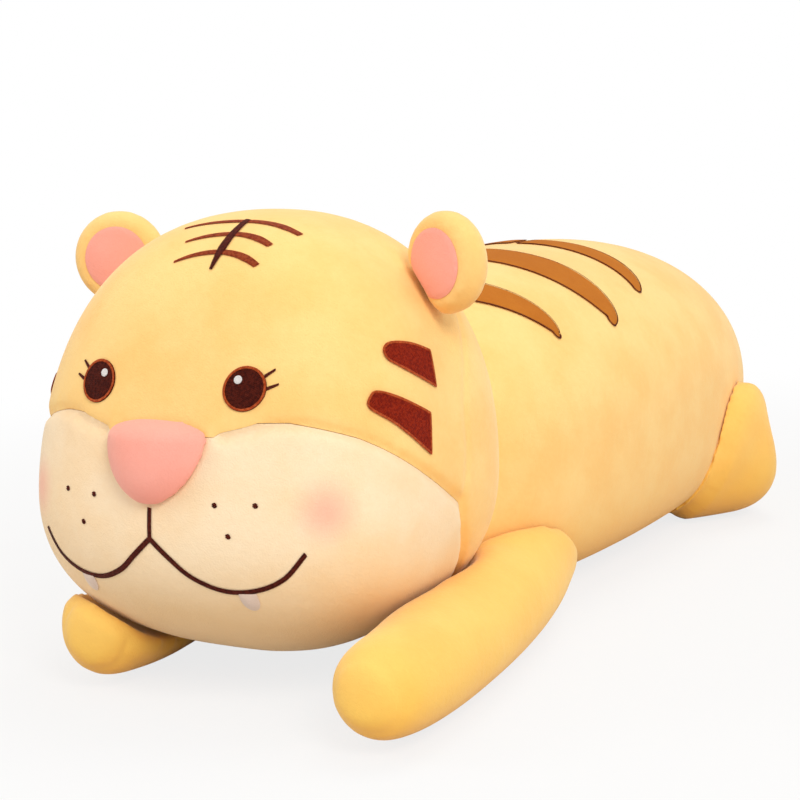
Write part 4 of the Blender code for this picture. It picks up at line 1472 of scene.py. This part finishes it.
class TIGER_PG_sizes(PropertyGroup):
    """Sizes of the covers' stuffing, seams and threads."""

    swell: span(
        "Swell", "How far the stuffing pushes the covers out from their seams", 0.003)
    pile: span("Pile", "Height of the short pile's fine bump", 0.0006)
    seam_depth: span("Seam depth", "Depth of the groove along a sewn seam", 0.0022)
    seam_width: span(
        "Seam width", "Half width of the groove along a sewn seam", 0.0030, 0.0005)
    seam_puff: span("Seam puff", "How far the pile swells beside the muzzle seam", 0.0014)
    ear_dish: span("Ear dish", "How far the pink panel lies below the ear's rim", 0.0045)
    flare: span("Flare", "How far a leg's cover spreads where it meets the body", 0.009)
    hip: span("Hip", "How far the top of a hind leg rises where it meets the body", 0.025)
    thread_pitch: span(
        "Thread pitch", "Distance from one embroidery stitch to the next", 0.00050, 0.0002)
    thread_height: span(
        "Thread height", "How far an embroidery stitch stands up", 0.00055, 0.0001)
    seed: IntProperty(
        name="Seed", description="Seed of the stitches' small unevenness", default=7, min=0)


def tone(name, description, red, green, blue):
    return FloatVectorProperty(
        name=name, description=description, subtype="COLOR", size=4, min=0.0, max=1.0,
        default=(red, green, blue, 1.0))


class TIGER_PG_colours(PropertyGroup):
    """Colours of the plush, the felt and the threads."""

    yellow: tone("Yellow", "Pile of the head and the body", 0.985, 0.685, 0.27)
    amber: tone("Amber", "Pile of the legs and the tail", 0.985, 0.63, 0.175)
    # Painted shade: the yellow and amber pile turn golden low down, near the floor.
    golden_low_shade: tone("Golden", "Yellow pile low down, near the floor", 0.95, 0.57, 0.085)
    orange: tone("Orange", "Yellow pile where it lies away from the light", 0.93, 0.42, 0.07)
    cream: tone("Cream", "Pile of the muzzle", 0.965, 0.78, 0.545)
    # Deep cream is painted shade where the muzzle's pile faces down, and the darker tone of its random patches.
    cream_deep: tone("Deep cream", "Cream pile where it lies away", 0.86, 0.52, 0.20)
    pink: tone("Pink", "Pile of the nose and of the ears' inside", 0.96, 0.42, 0.34)
    # Deep pink is painted shade where the pile faces down and low near the floor, and the darker tone of its random
    # patches.
    pink_deep: tone("Deep pink", "Pink pile where it lies away", 0.90, 0.30, 0.22)
    blush: tone("Blush", "Airbrushed blush on the cheeks", 0.96, 0.40, 0.32)
    caramel: tone("Caramel", "Pile of the back stripes", 0.52, 0.175, 0.020)
    # Deep caramel is painted shade where the pile faces down and low near the floor, and the darker tone of its random
    # patches.
    caramel_deep: tone("Deep caramel", "Caramel pile where it lies away", 0.36, 0.090, 0.008)
    brown: tone("Brown", "Embroidery of the eyes and the mouth", 0.100, 0.011, 0.004)
    russet: tone("Russet", "Embroidery of the cheek stripes", 0.30, 0.020, 0.003)
    bar: tone("Bar", "Embroidery of the forehead's bars", 0.32, 0.055, 0.014)
    edge: tone("Edge", "Satin edge round the eyes and the cheek stripes", 0.50, 0.095, 0.022)
    white: tone("White", "The eyes' highlights", 0.76, 0.73, 0.72)
    ivory: tone("Ivory", "Felt fangs", 0.75, 0.58, 0.475)


# Pieces


class TIGER_OT_body(Operator):
    """Make the stuffed body cover"""

    bl_idname = "plush_tiger.body"
    bl_label = "Body"

    def execute(self, context):
        body = body_form("body_plush")
        cut_by_head(body, swept_reach)
        stuffed(body, BODY_VOXEL, [from_head(swept_reach)])
        clear_of_floor(body, 0.0)
        clear_of_head(body, swept_reach, GAP)
        padded(body, "yellow_plush", 0.9, "yellow_plush", "body_cover", "body_filling")
        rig.ride(body, "body")
        return {"FINISHED"}


def muzzle_line(side):
    """Points along the muzzle seam on one side of the head."""
    shares = [(y * HEAD_FRONT_DEPTH, z * HEAD_CROWN_HEIGHT) for y, z in MUZZLE_SEAM_SHARES]
    points = []
    for y, z in evenly(shares, SEAM_SPACING):
        low, high = 0.0, HEAD_HALF_WIDTH * 1.1
        for _ in range(24):
            middle = (low + high) / 2
            ray = Vector((middle, y, z))
            if ray.length < float(head_reach([ray.normalized()])[0]):
                low = middle
            else:
                high = middle
        if low > 0.0:
            points.append(HEAD_CENTRE + Vector((low * SIDES[side], y, z)))
    return points


def muzzle_region(name, margin=0.0):
    """Everything below and ahead of the muzzle seam, right across the head."""
    seam = [(y * HEAD_FRONT_DEPTH, z * HEAD_CROWN_HEIGHT + margin) for y, z in MUZZLE_SEAM_SHARES]
    outline = [(-FAR, seam[0][1])] + seam + [(seam[-1][0] + margin, -FAR), (-FAR, -FAR)]
    return prism(name, outline, HEAD_CENTRE - X_AXIS * FAR, Y_AXIS, Z_AXIS, 2.0 * FAR)


class TIGER_OT_head(Operator):
    """Make the stuffed head: its yellow cover and its cream muzzle"""

    bl_idname = "plush_tiger.head"
    bl_label = "Head and muzzle"

    def execute(self, context):
        sizes = settings()
        head = head_form("head_plush")
        muzzle_seam = line_tree(muzzle_line("left") + muzzle_line("right"))
        gusset = []
        for mirror in SIDES.values():
            angles = smooth_path([(turn * mirror, rise) for turn, rise in GUSSET_SEAM], 40)
            gusset += [on_head(heading(turn, rise)) for turn, rise in angles]
        stuffed(head, HEAD_VOXEL, seams=[muzzle_seam])
        press(head, muzzle_seam, sizes.seam_width * PUFF_WIDTH_SHARE, -sizes.seam_puff)
        press(head, muzzle_seam, sizes.seam_width, sizes.seam_depth + sizes.seam_puff)
        press(head, line_tree(gusset), sizes.seam_width, sizes.seam_depth * GUSSET_DEPTH_SHARE)
        clear_of_floor(head, CHIN_CLEARANCE)
        muzzle = add_object("muzzle_plush", head.data.copy())
        region, beyond = muzzle_region("region"), muzzle_region("beyond", GAP)
        combine(muzzle, region, "INTERSECT")
        cut(head, beyond)
        discard(region, beyond)
        padded(head, "yellow_plush", 0.9, "yellow_plush", "head_cover", "head_filling")
        padded(muzzle, "cream_plush", 0.9, "cream_plush", "muzzle_cover")
        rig.ride(head, "head")
        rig.ride(muzzle, "head")
        return {"FINISHED"}


def stuffed_leg(name, limb, seams, beside_head=False, hip=0.0, fillet=LEG_FILLET):
    """A leg's cover, closed against the body and clear of the head as it nods."""
    leg = limb.form(name)
    body = body_form("body_obstacle", GAP)
    tree = skin_tree(body)
    cut(leg, body)
    neighbours = [from_tree(tree)]
    if beside_head:
        cut_by_head(leg, swept_reach)
        neighbours.append(from_head(swept_reach))
    stuffed(leg, LEG_VOXEL, neighbours, seams, flare=settings().flare, hip=hip)
    width = settings().seam_width * PAW_SEAM_WIDTH_SHARE
    for seam in seams:
        press(leg, seam, width, settings().seam_depth * PAW_SEAM_DEPTH_SHARE)
    away = np.min([distance(places_of(leg)) for distance in neighbours], axis=0)
    for height, rounds in ((0.0, 4), (fillet, 6), (0.0, 0)):
        clear_of_skin(leg, tree, GAP, height)
        if beside_head:
            clear_of_head(leg, swept_reach, GAP)
        relax(leg, np.clip(1.2 - away / FULL_REACH, 0.0, 0.8), rounds)
    clear_of_floor(leg, LEG_LIFT)
    discard(body)
    return leg


class TIGER_OT_front_legs(Operator):
    """Make the two stuffed front legs"""

    bl_idname = "plush_tiger.front_legs"
    bl_label = "Front legs"

    def execute(self, context):
        for side in SIDES:
            limb = front_leg(side)
            ring = limb.ring(PAW_SEAM_SHARE, OUTLINE_SIDES)
            seam = line_tree(evenly(ring, SEAM_SPACING, closed=True))
            leg = stuffed_leg(f"front_leg_{side}_plush", limb, [seam], beside_head=True)
            nodes = [f"front_leg_{side}_cover", f"front_leg_{side}_filling"]
            padded(leg, "amber_plush", 0.85, "yellow_plush", *nodes)
            end = quadratic(limb.stations, 0.5)
            start = limb.stations[0].lerp(end, 0.35)
            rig.blend(leg, "body", f"{side}_front_leg", start, start.lerp(end, 1.6))
        return {"FINISHED"}


class TIGER_OT_hind_legs(Operator):
    """Make the two stuffed hind legs"""

    bl_idname = "plush_tiger.hind_legs"
    bl_label = "Hind legs"

    def execute(self, context):
        for side in SIDES:
            limb = hind_leg(side)
            name = f"hind_leg_{side}_plush"
            leg = stuffed_leg(name, limb, [], hip=settings().hip, fillet=HIND_FILLET)
            nodes = [f"hind_leg_{side}_cover", f"hind_leg_{side}_filling"]
            padded(leg, "amber_plush", 0.85, "yellow_plush", *nodes)
            start = limb.stations[0].lerp(limb.stations[2], 0.35)
            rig.blend(leg, "body", f"{side}_hind_leg", start, limb.stations[2])
        return {"FINISHED"}


class TIGER_OT_tail(Operator):
    """Make the stuffed tail"""

    bl_idname = "plush_tiger.tail"
    bl_label = "Tail"

    def execute(self, context):
        limb = tail_limb()
        tail = stuffed_leg("tail_plush", limb, [])
        padded(tail, "amber_plush", 0.8, "yellow_plush", "tail_cover", "tail_filling")
        root = quadratic(limb.stations, 0.40)
        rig.blend(tail, "body", "tail", root, quadratic(limb.stations, 0.80))
        return {"FINISHED"}


class TIGER_OT_ears(Operator):
    """Make the stuffed ears and their pink panels"""

    bl_idname = "plush_tiger.ears"
    bl_label = "Ears"

    def execute(self, context):
        tree = head_skin()
        for side in SIDES:
            root, outward, along = ear_frame(side)
            ear = ear_form(f"ear_{side}_plush", side)
            cut_by_head(ear)
            stuffed(ear, EAR_VOXEL, [from_head(head_reach)], reach=EAR_FULL_REACH)
            clear_of_skin(ear, tree, GAP)
            view = View(ear_centre(side), along, outward, skin_tree(ear))
            foot = EAR_CENTRE_OUT * EAR_PANEL_FOOT_SHARE
            outline = circle(EAR_RADIUS * EAR_PANEL_SHARE, EAR_PANEL_SIDES)
            outline = [point for point in outline if point.y > -foot]
            panel = patch(f"ear_{side}_pink", outline, view, *PANEL_LAYER)
            clear_of_skin(panel, tree, GAP)
            padded(ear, "yellow_plush", 0.7, "yellow_plush", f"ear_{side}")
            padded(panel, "pink_plush", 0.3, "pink_plush", f"ear_{side}_panel")
            for piece in (ear, panel):
                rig.blend(piece, "head", f"{side}_ear", root, root + outward * 0.014)
        return {"FINISHED"}


class TIGER_OT_nose(Operator):
    """Make the stuffed pink nose"""

    bl_idname = "plush_tiger.nose"
    bl_label = "Nose"

    def execute(self, context):
        nose = nose_form("nose_plush")
        cut_by_head(nose)
        stuffed(nose, NOSE_VOXEL, [from_head(head_reach)], reach=NOSE_FULL_REACH)
        tree = head_skin()
        for rounds in (2, 1, 0):
            clear_of_skin(nose, tree, GAP)
            relax(nose, np.full(len(nose.data.vertices), 0.4), rounds)
        padded(nose, "pink_plush", 0.85, "pink_plush", "nose")
        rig.ride(nose, "head")
        return {"FINISHED"}


def embroidered(view, outline, inner, material, length, slant, lift, layer=BASE_LAYER):
    """A thin layer of an outline's shape, and rows of fill stitches over its inner part."""
    base = dressed(patch("base", outline, view, *layer), material)
    stitches = filled(inner, settings().thread_pitch, length, slant)
    return [base, sewn("fill", stitches, view, material, lift)]


def satin(name, node, points, halves, view, material, slot, lift=LINE_LIFT):
    """Sew a line of satin stitches that widens and narrows as its half widths do."""
    line = evenly(points, settings().thread_pitch)
    marks = np.linspace(0.0, 1.0, len(halves))
    widths = np.interp(np.linspace(0.0, 1.0, len(line)), marks, halves)
    stitches = across_line(line, list(widths), LINE_SLANT)
    line = sewn("line", stitches, view, material, lift, LINE_THREAD_SHARE)
    trim(name, [line], slot, "head", node)


class TIGER_OT_eyes(Operator):
    """Embroider the eyes, their rims, highlights and lashes"""

    bl_idname = "plush_tiger.eyes"
    bl_label = "Eyes"

    def execute(self, context):
        pitch = settings().thread_pitch
        for side in SIDES:
            view = head_view(EYE_TURN, EYE_RISE, side)
            inner = EYE_RADIUS - EYE_RIM_WIDTH
            disc, iris = circle(EYE_RADIUS, OUTLINE_SIDES), circle(inner, OUTLINE_SIDES)
            fill = embroidered(view, disc, iris, "brown_thread", EYE_STITCH, EYE_SLANT, FILL_LIFT)
            trim(f"eye_{side}_fill", fill, "brown_thread", "head", f"eye_{side}")
            middle = circle((EYE_RADIUS + inner) / 2, OUTLINE_SIDES)
            rim = around_line(middle, EYE_RIM_WIDTH, pitch)
            rim = sewn("rim", rim, view, "edge_thread", EDGE_LIFT)
            trim(f"eye_{side}_edge", [rim], "red_brown_thread", "head", f"eye_{side}_rim")
            place = flipped([(-HIGHLIGHT_IN, HIGHLIGHT_UP)], side)[0]
            spot = circle(HIGHLIGHT_RADIUS, 24, place.x, place.y)
            glint = embroidered(view, spot, spot, "white_felt", SMALL_STITCH, GLINT_SLANT,
                                GLINT_LIFT, GLINT_LAYER)
            trim(f"eye_{side}_glint", glint, "white_felt", "head", f"eye_{side}_highlight")
            start = EYE_RADIUS + LASH_CLEARANCE
            for number, angles in enumerate(zip(LASH_ROOT_ANGLES, LASH_RUN_ANGLES), 1):
                out, run = (Vector((cos(radians(a)), sin(radians(a)))) for a in angles)
                points = [out * start, out * start + run * LASH_LENGTH]
                points = evenly(flipped(points, side), pitch)
                shares = np.linspace(*LASH_FULLNESS, len(points))
                halves = [LASH_WIDTH / 2 * share for share in shares]
                lash = across_line(points, halves, LASH_SLANT)
                lash = sewn("lash", lash, view, "brown_thread", LINE_LIFT, LINE_THREAD_SHARE)
                trim(f"lash_{side}_{number}", [lash], "brown_thread", "head",
                     f"eye_{side}_lash_{number}")
        return {"FINISHED"}


def face_place(shares):
    """A place in the view from ahead, from shares of the head's half width and chin height."""
    return shares[0] * HEAD_HALF_WIDTH, shares[1] * HEAD_CHIN_HEIGHT


def mouth_path():
    """One side's line of the mouth, from the fork below the nose out to its corner."""
    fork = NOSE_LIFT - NOSE_DROP - GAP - MOUTH_LINE_LENGTH
    places = [face_place(shares) for shares in MOUTH_PLACE_SHARES]
    return smooth_path([(0.0, fork), *places], 12)


class TIGER_OT_mouth(Operator):
    """Embroider the mouth and the whisker dots, and sew the fangs on"""

    bl_idname = "plush_tiger.mouth"
    bl_label = "Mouth"

    def execute(self, context):
        view = head_view(0.0, 0.0)
        half = MOUTH_WIDTH / 2
        top = NOSE_LIFT - NOSE_DROP + MOUTH_LINE_OVERLAP
        fork = mouth_path()[0].y
        middle = [Vector((0.0, top)), Vector((0.0, fork - half))]
        end = half * MOUTH_END_FULLNESS
        satin("mouth_middle_thread", "mouth_middle", middle, [end, end], view,
              "brown_thread", "red_brown_thread")
        for side, mirror in SIDES.items():
            path = mouth_path()
            out = FANG_OUT_SHARE * HEAD_HALF_WIDTH
            lip = min(path, key=lambda point: abs(point.x - out))
            level = lip.y - half
            angles = [pi * step / 16 for step in range(17)]
            shares = [(1.0, 0.1)] + [(cos(a), -0.3 - 0.7 * sin(a)) for a in angles] + [(-1.0, 0.1)]
            wide = FANG_HALF_WIDTH * FANG_SEEN_SHARE
            outline = [
                Vector(((out + wide * x) * mirror, level + FANG_LENGTH * y)) for x, y in shares
            ]
            fang = dressed(patch("fang", outline, view, *FANG_LAYER), "fang_felt")
            trim(f"fang_{side}_felt", [fang], "white_felt", "head", f"fang_{side}")
            satin(f"mouth_{side}_thread", f"mouth_{side}", flipped(path, side),
                  [half, half, half, end], view, "brown_thread", "red_brown_thread")
            for number, shares in enumerate(DOT_PLACE_SHARES, 1):
                x, y = face_place(shares)
                spot = circle(DOT_RADIUS, 20, x * mirror, y)
                fill = filled(spot, settings().thread_pitch, SMALL_STITCH, KNOT_SLANT)
                knot = sewn("knot", fill, view, "brown_thread", KNOT_LIFT, LINE_THREAD_SHARE)
                trim(f"whisker_{side}_{number}", [knot], "red_brown_thread", "head",
                     f"whisker_dot_{side}_{number}")
        return {"FINISHED"}


class TIGER_OT_forehead(Operator):
    """Embroider the forehead's stroke and bars"""

    bl_idname = "plush_tiger.forehead"
    bl_label = "Forehead mark"

    def execute(self, context):
        half = FOREHEAD_STROKE_WIDTH / 2
        thick = FOREHEAD_BAR_WIDTH / 2
        bars = [[share * HEAD_HALF_WIDTH for share in shares] for shares in FOREHEAD_BAR_SHARES]
        top = bars[0][1] + thick
        tail = bars[-1][1] - FOREHEAD_STROKE_TAIL
        view = head_view(0.0, FOREHEAD_RISE)
        view.place = view.place + view.across * FOREHEAD_ASIDE
        stroke = [Vector((0.0, top)), Vector((0.0, tail))]
        halves = [half * share for share in FOREHEAD_STROKE_FULLNESS]
        satin("forehead_thread", "forehead_stroke", stroke, halves, view,
              "brown_thread", "brown_thread", STROKE_LIFT)
        for side, mirror in SIDES.items():
            for number, (length, place, droop) in enumerate(bars, 1):
                xs = np.linspace(0.0, length, 12)
                points = [Vector((x * mirror, place - droop * (x / length) ** 2)) for x in xs]
                halves = [thick * share for share in FOREHEAD_BAR_FULLNESS[side]]
                satin(f"forehead_{side}_{number}_thread", f"forehead_bar_{side}_{number}",
                      points, halves, view, "bar_thread", "brown_thread")
        return {"FINISHED"}


class TIGER_OT_cheek_stripes(Operator):
    """Embroider the cheek stripes, with a satin edge round each"""

    bl_idname = "plush_tiger.cheek_stripes"
    bl_label = "Cheek stripes"

    def execute(self, context):
        size = CHEEK_STRIPE_HALF_LENGTH
        pitch = settings().thread_pitch
        for side in SIDES:
            for name, shares in CHEEK_STRIPE_SHARES.items():
                view = head_view(*CHEEK_STRIPE_VIEWS[name], side)
                places = [(x * size, y * size) for x, y in shares]
                outline = flipped(smooth_path(places[5:] + places[:5], 6), side)
                parts = embroidered(view, outline, outline, "russet_thread", CHEEK_STITCH,
                                    CHEEK_SLANT * SIDES[side], FILL_LIFT)
                edge = around_line(outline, CHEEK_EDGE_WIDTH, pitch)
                parts.append(sewn("edge", edge, view, "edge_thread", EDGE_LIFT))
                trim(f"cheek_{side}_{name}_thread", parts, "brown_thread", "head",
                     f"cheek_stripe_{side}_{name}")
        return {"FINISHED"}


def bow(edge, tip, steps=24):
    """Points of a stripe's edge, from beside the spine out to its tip, bent once."""
    level, corner_shares = edge
    _, y = plan_place((0.0, level))
    start, corner = Vector((STRIPE_NOTCH_OUT, y)), Vector(plan_place(corner_shares))
    shares = [step / steps for step in range(steps + 1)]
    return [start * (1 - t) ** 2 + corner * 2 * t * (1 - t) + tip * t * t for t in shares]


class TIGER_OT_back_stripes(Operator):
    """Sew the caramel stripes onto the back, with dark edging thread round each, widened along each front edge and tip
    as painted shade
    """

    bl_idname = "plush_tiger.back_stripes"
    bl_label = "Back stripes"

    def execute(self, context):
        body = bpy.data.objects["body_plush"]
        view = View(Vector((0.0, 0.0, BODY_HEIGHT / 2)), X_AXIS, Y_AXIS, skin_tree(body))
        pitch = settings().thread_pitch * STRIPE_PITCH_SHARE
        edges = zip(STRIPE_TIP_SHARES, STRIPE_REAR_SHARES, STRIPE_FRONT_SHARES)
        for number, (tip_shares, rear, front) in enumerate(edges, 1):
            tip = Vector(plan_place(tip_shares))
            corners = Vector(plan_place(rear[1])) + Vector(plan_place(front[1]))
            onward = (tip - corners / 2).normalized() * STRIPE_TIP_HALF_WIDTH
            beside = Vector((-onward.y, onward.x))
            middle = tip - onward
            rear_edge, front_edge = bow(rear, middle + beside), bow(front, middle - beside)
            angles = [pi * step / 8 for step in range(1, 8)]
            end = [middle + beside * cos(a) + onward * sin(a) for a in angles]
            for side in SIDES:
                outline = flipped(rear_edge + end + front_edge[::-1], side)
                cloth = dressed(patch("cloth", outline, view, *STRIPE_LAYER), "caramel_plush")
                # The thin dark thread round the whole outline is the stripe's edging; the wider band along the front
                # edge and round the tip is painted shade.
                line = evenly(flipped(front_edge + end[::-1], side), pitch)
                stitches = across_line(line, [STRIPE_EDGE_WIDTH / 2] * len(line), STRIPE_SLANT)
                stitches += around_line(outline, STRIPE_EDGE_WIDTH / 2, pitch)
                edge = sewn("edge", stitches, view, "brown_thread", EDGE_LIFT)
                trim(f"back_stripe_{side}_{number}_applique", [cloth, edge], "caramel_plush",
                     "body", f"back_stripe_{side}_{number}")
        return {"FINISHED"}


def white_paper():
    """Paper that keeps the object's soft shadow near it, and is plain white further out."""
    recipe = Recipe("white_paper", {
        "Base Color": PAPER_GREY, "Roughness": 0.9, "Specular IOR Level": 0.1,
    })
    options = {"operation": "LENGTH"}
    away = recipe.node("ShaderNodeVectorMath", options, {0: recipe.place()}, "Value")
    seen = recipe.node("ShaderNodeLightPath", {}, {}, "Is Camera Ray")
    share = seen * (recipe.ranged(away, 0.45, 1.1) * 0.2 + 0.8)
    white = recipe.node("ShaderNodeEmission", {}, {"Color": WHITE})
    shaded = Value(recipe, recipe.shader.outputs[0])
    surface = recipe.node("ShaderNodeMixShader", {}, {0: share, 1: shaded, 2: white})
    output = recipe.tree.nodes["Material Output"]
    recipe.tree.links.new(surface.output, output.inputs["Surface"])
    return recipe.material


def lamp(name, place, size, power, tint):
    """A round, soft lamp that looks at the middle of the toy."""
    light = bpy.data.lights.new(name, "AREA")
    light.shape = "DISK"
    light.size = size
    light.energy = power
    light.color = tint
    item = bpy.data.objects.new(name, light)
    item.location = place
    item.rotation_euler = (Vector(LAMP_AIM) - Vector(place)).to_track_quat("-Z", "Y").to_euler()
    bpy.context.scene.collection.objects.link(item)


class TIGER_OT_stage(Operator):
    """Set the floor, the soft lamps, the world and the camera"""

    bl_idname = "plush_tiger.stage"
    bl_label = "Stage"

    def execute(self, context):
        scene = context.scene
        shape = bmesh.new()
        corners = [(-1.0, -1.0), (1.0, -1.0), (1.0, 1.0), (-1.0, 1.0)]
        shape.faces.new([
            shape.verts.new((x * FLOOR_HALF_WIDTH, y * FLOOR_HALF_WIDTH, -FLOOR_DROP))
            for x, y in corners
        ])
        floor = from_bmesh("floor_paper", shape)
        floor.data.materials.append(white_paper())
        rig.stage(floor)
        world = bpy.data.worlds.new("studio")
        world.use_nodes = True
        scene.world = world
        tree = world.node_tree
        soft = tree.nodes["Background"]
        soft.inputs["Color"].default_value = WORLD_TINT
        soft.inputs["Strength"].default_value = WORLD_STRENGTH
        seen = tree.nodes.new("ShaderNodeBackground")
        seen.inputs["Color"].default_value = WHITE
        path = tree.nodes.new("ShaderNodeLightPath")
        mix = tree.nodes.new("ShaderNodeMixShader")
        tree.links.new(path.outputs["Is Camera Ray"], mix.inputs[0])
        tree.links.new(soft.outputs[0], mix.inputs[1])
        tree.links.new(seen.outputs[0], mix.inputs[2])
        tree.links.new(mix.outputs[0], tree.nodes["World Output"].inputs["Surface"])
        for name, values in LAMPS.items():
            lamp(name, *values)
        scene.view_settings.view_transform = "Standard"
        camera = bpy.data.objects.new("camera", bpy.data.cameras.new("camera"))
        camera.data.lens = FOCAL_LENGTH
        turn, rise, roll = (radians(a) for a in (CAMERA_TURN, CAMERA_RISE, CAMERA_ROLL))
        back = Vector((sin(turn) * cos(rise), -cos(turn) * cos(rise), sin(rise)))
        right = Vector((cos(turn), sin(turn), 0.0))
        up = back.cross(right)
        across = right * cos(roll) + up * sin(roll)
        above = up * cos(roll) - right * sin(roll)
        camera.matrix_world = Matrix.Translation(CAMERA_PLACE) @ Matrix(
            (across, above, back)).transposed().to_4x4()
        scene.collection.objects.link(camera)
        scene.camera = camera
        return {"FINISHED"}


PIECES = (
    TIGER_OT_body, TIGER_OT_head, TIGER_OT_front_legs, TIGER_OT_hind_legs, TIGER_OT_tail,
    TIGER_OT_ears, TIGER_OT_nose, TIGER_OT_eyes, TIGER_OT_mouth, TIGER_OT_forehead,
    TIGER_OT_cheek_stripes, TIGER_OT_back_stripes, TIGER_OT_stage,
)


class TIGER_PT_panel(Panel):
    """Sizes, colours and makers of the plush tiger's pieces"""

    bl_idname = "TIGER_PT_panel"
    bl_label = "Plush tiger"
    bl_space_type = "VIEW_3D"
    bl_region_type = "UI"
    bl_category = "Plush tiger"

    def draw(self, context):
        column = self.layout.column(align=True)
        for group in (context.scene.plush_tiger_sizes, context.scene.plush_tiger_colours):
            for name in group.__annotations__:
                column.prop(group, name)
        for piece in PIECES:
            column.operator(piece.bl_idname)


CLASSES = (TIGER_PG_sizes, TIGER_PG_colours, *PIECES, TIGER_PT_panel)


def register():
    for kind in CLASSES:
        bpy.utils.register_class(kind)
    bpy.types.Scene.plush_tiger_sizes = PointerProperty(type=TIGER_PG_sizes)
    bpy.types.Scene.plush_tiger_colours = PointerProperty(type=TIGER_PG_colours)


def unregister():
    del bpy.types.Scene.plush_tiger_sizes
    del bpy.types.Scene.plush_tiger_colours
    for kind in reversed(CLASSES):
        bpy.utils.unregister_class(kind)


def main():
    register()
    for piece in PIECES:
        group, name = piece.bl_idname.split(".")
        getattr(getattr(bpy.ops, group), name)()
    bpy.context.view_layer.update()
    boxes = {
        "cad": [list(corner) for corner in CAD_BOX],
        "visual": [list(corner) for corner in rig.bounds()],
    }
    with open("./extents.json", "w") as file:
        json.dump(boxes, file, indent=1)


if __name__ == "__main__":
    main()
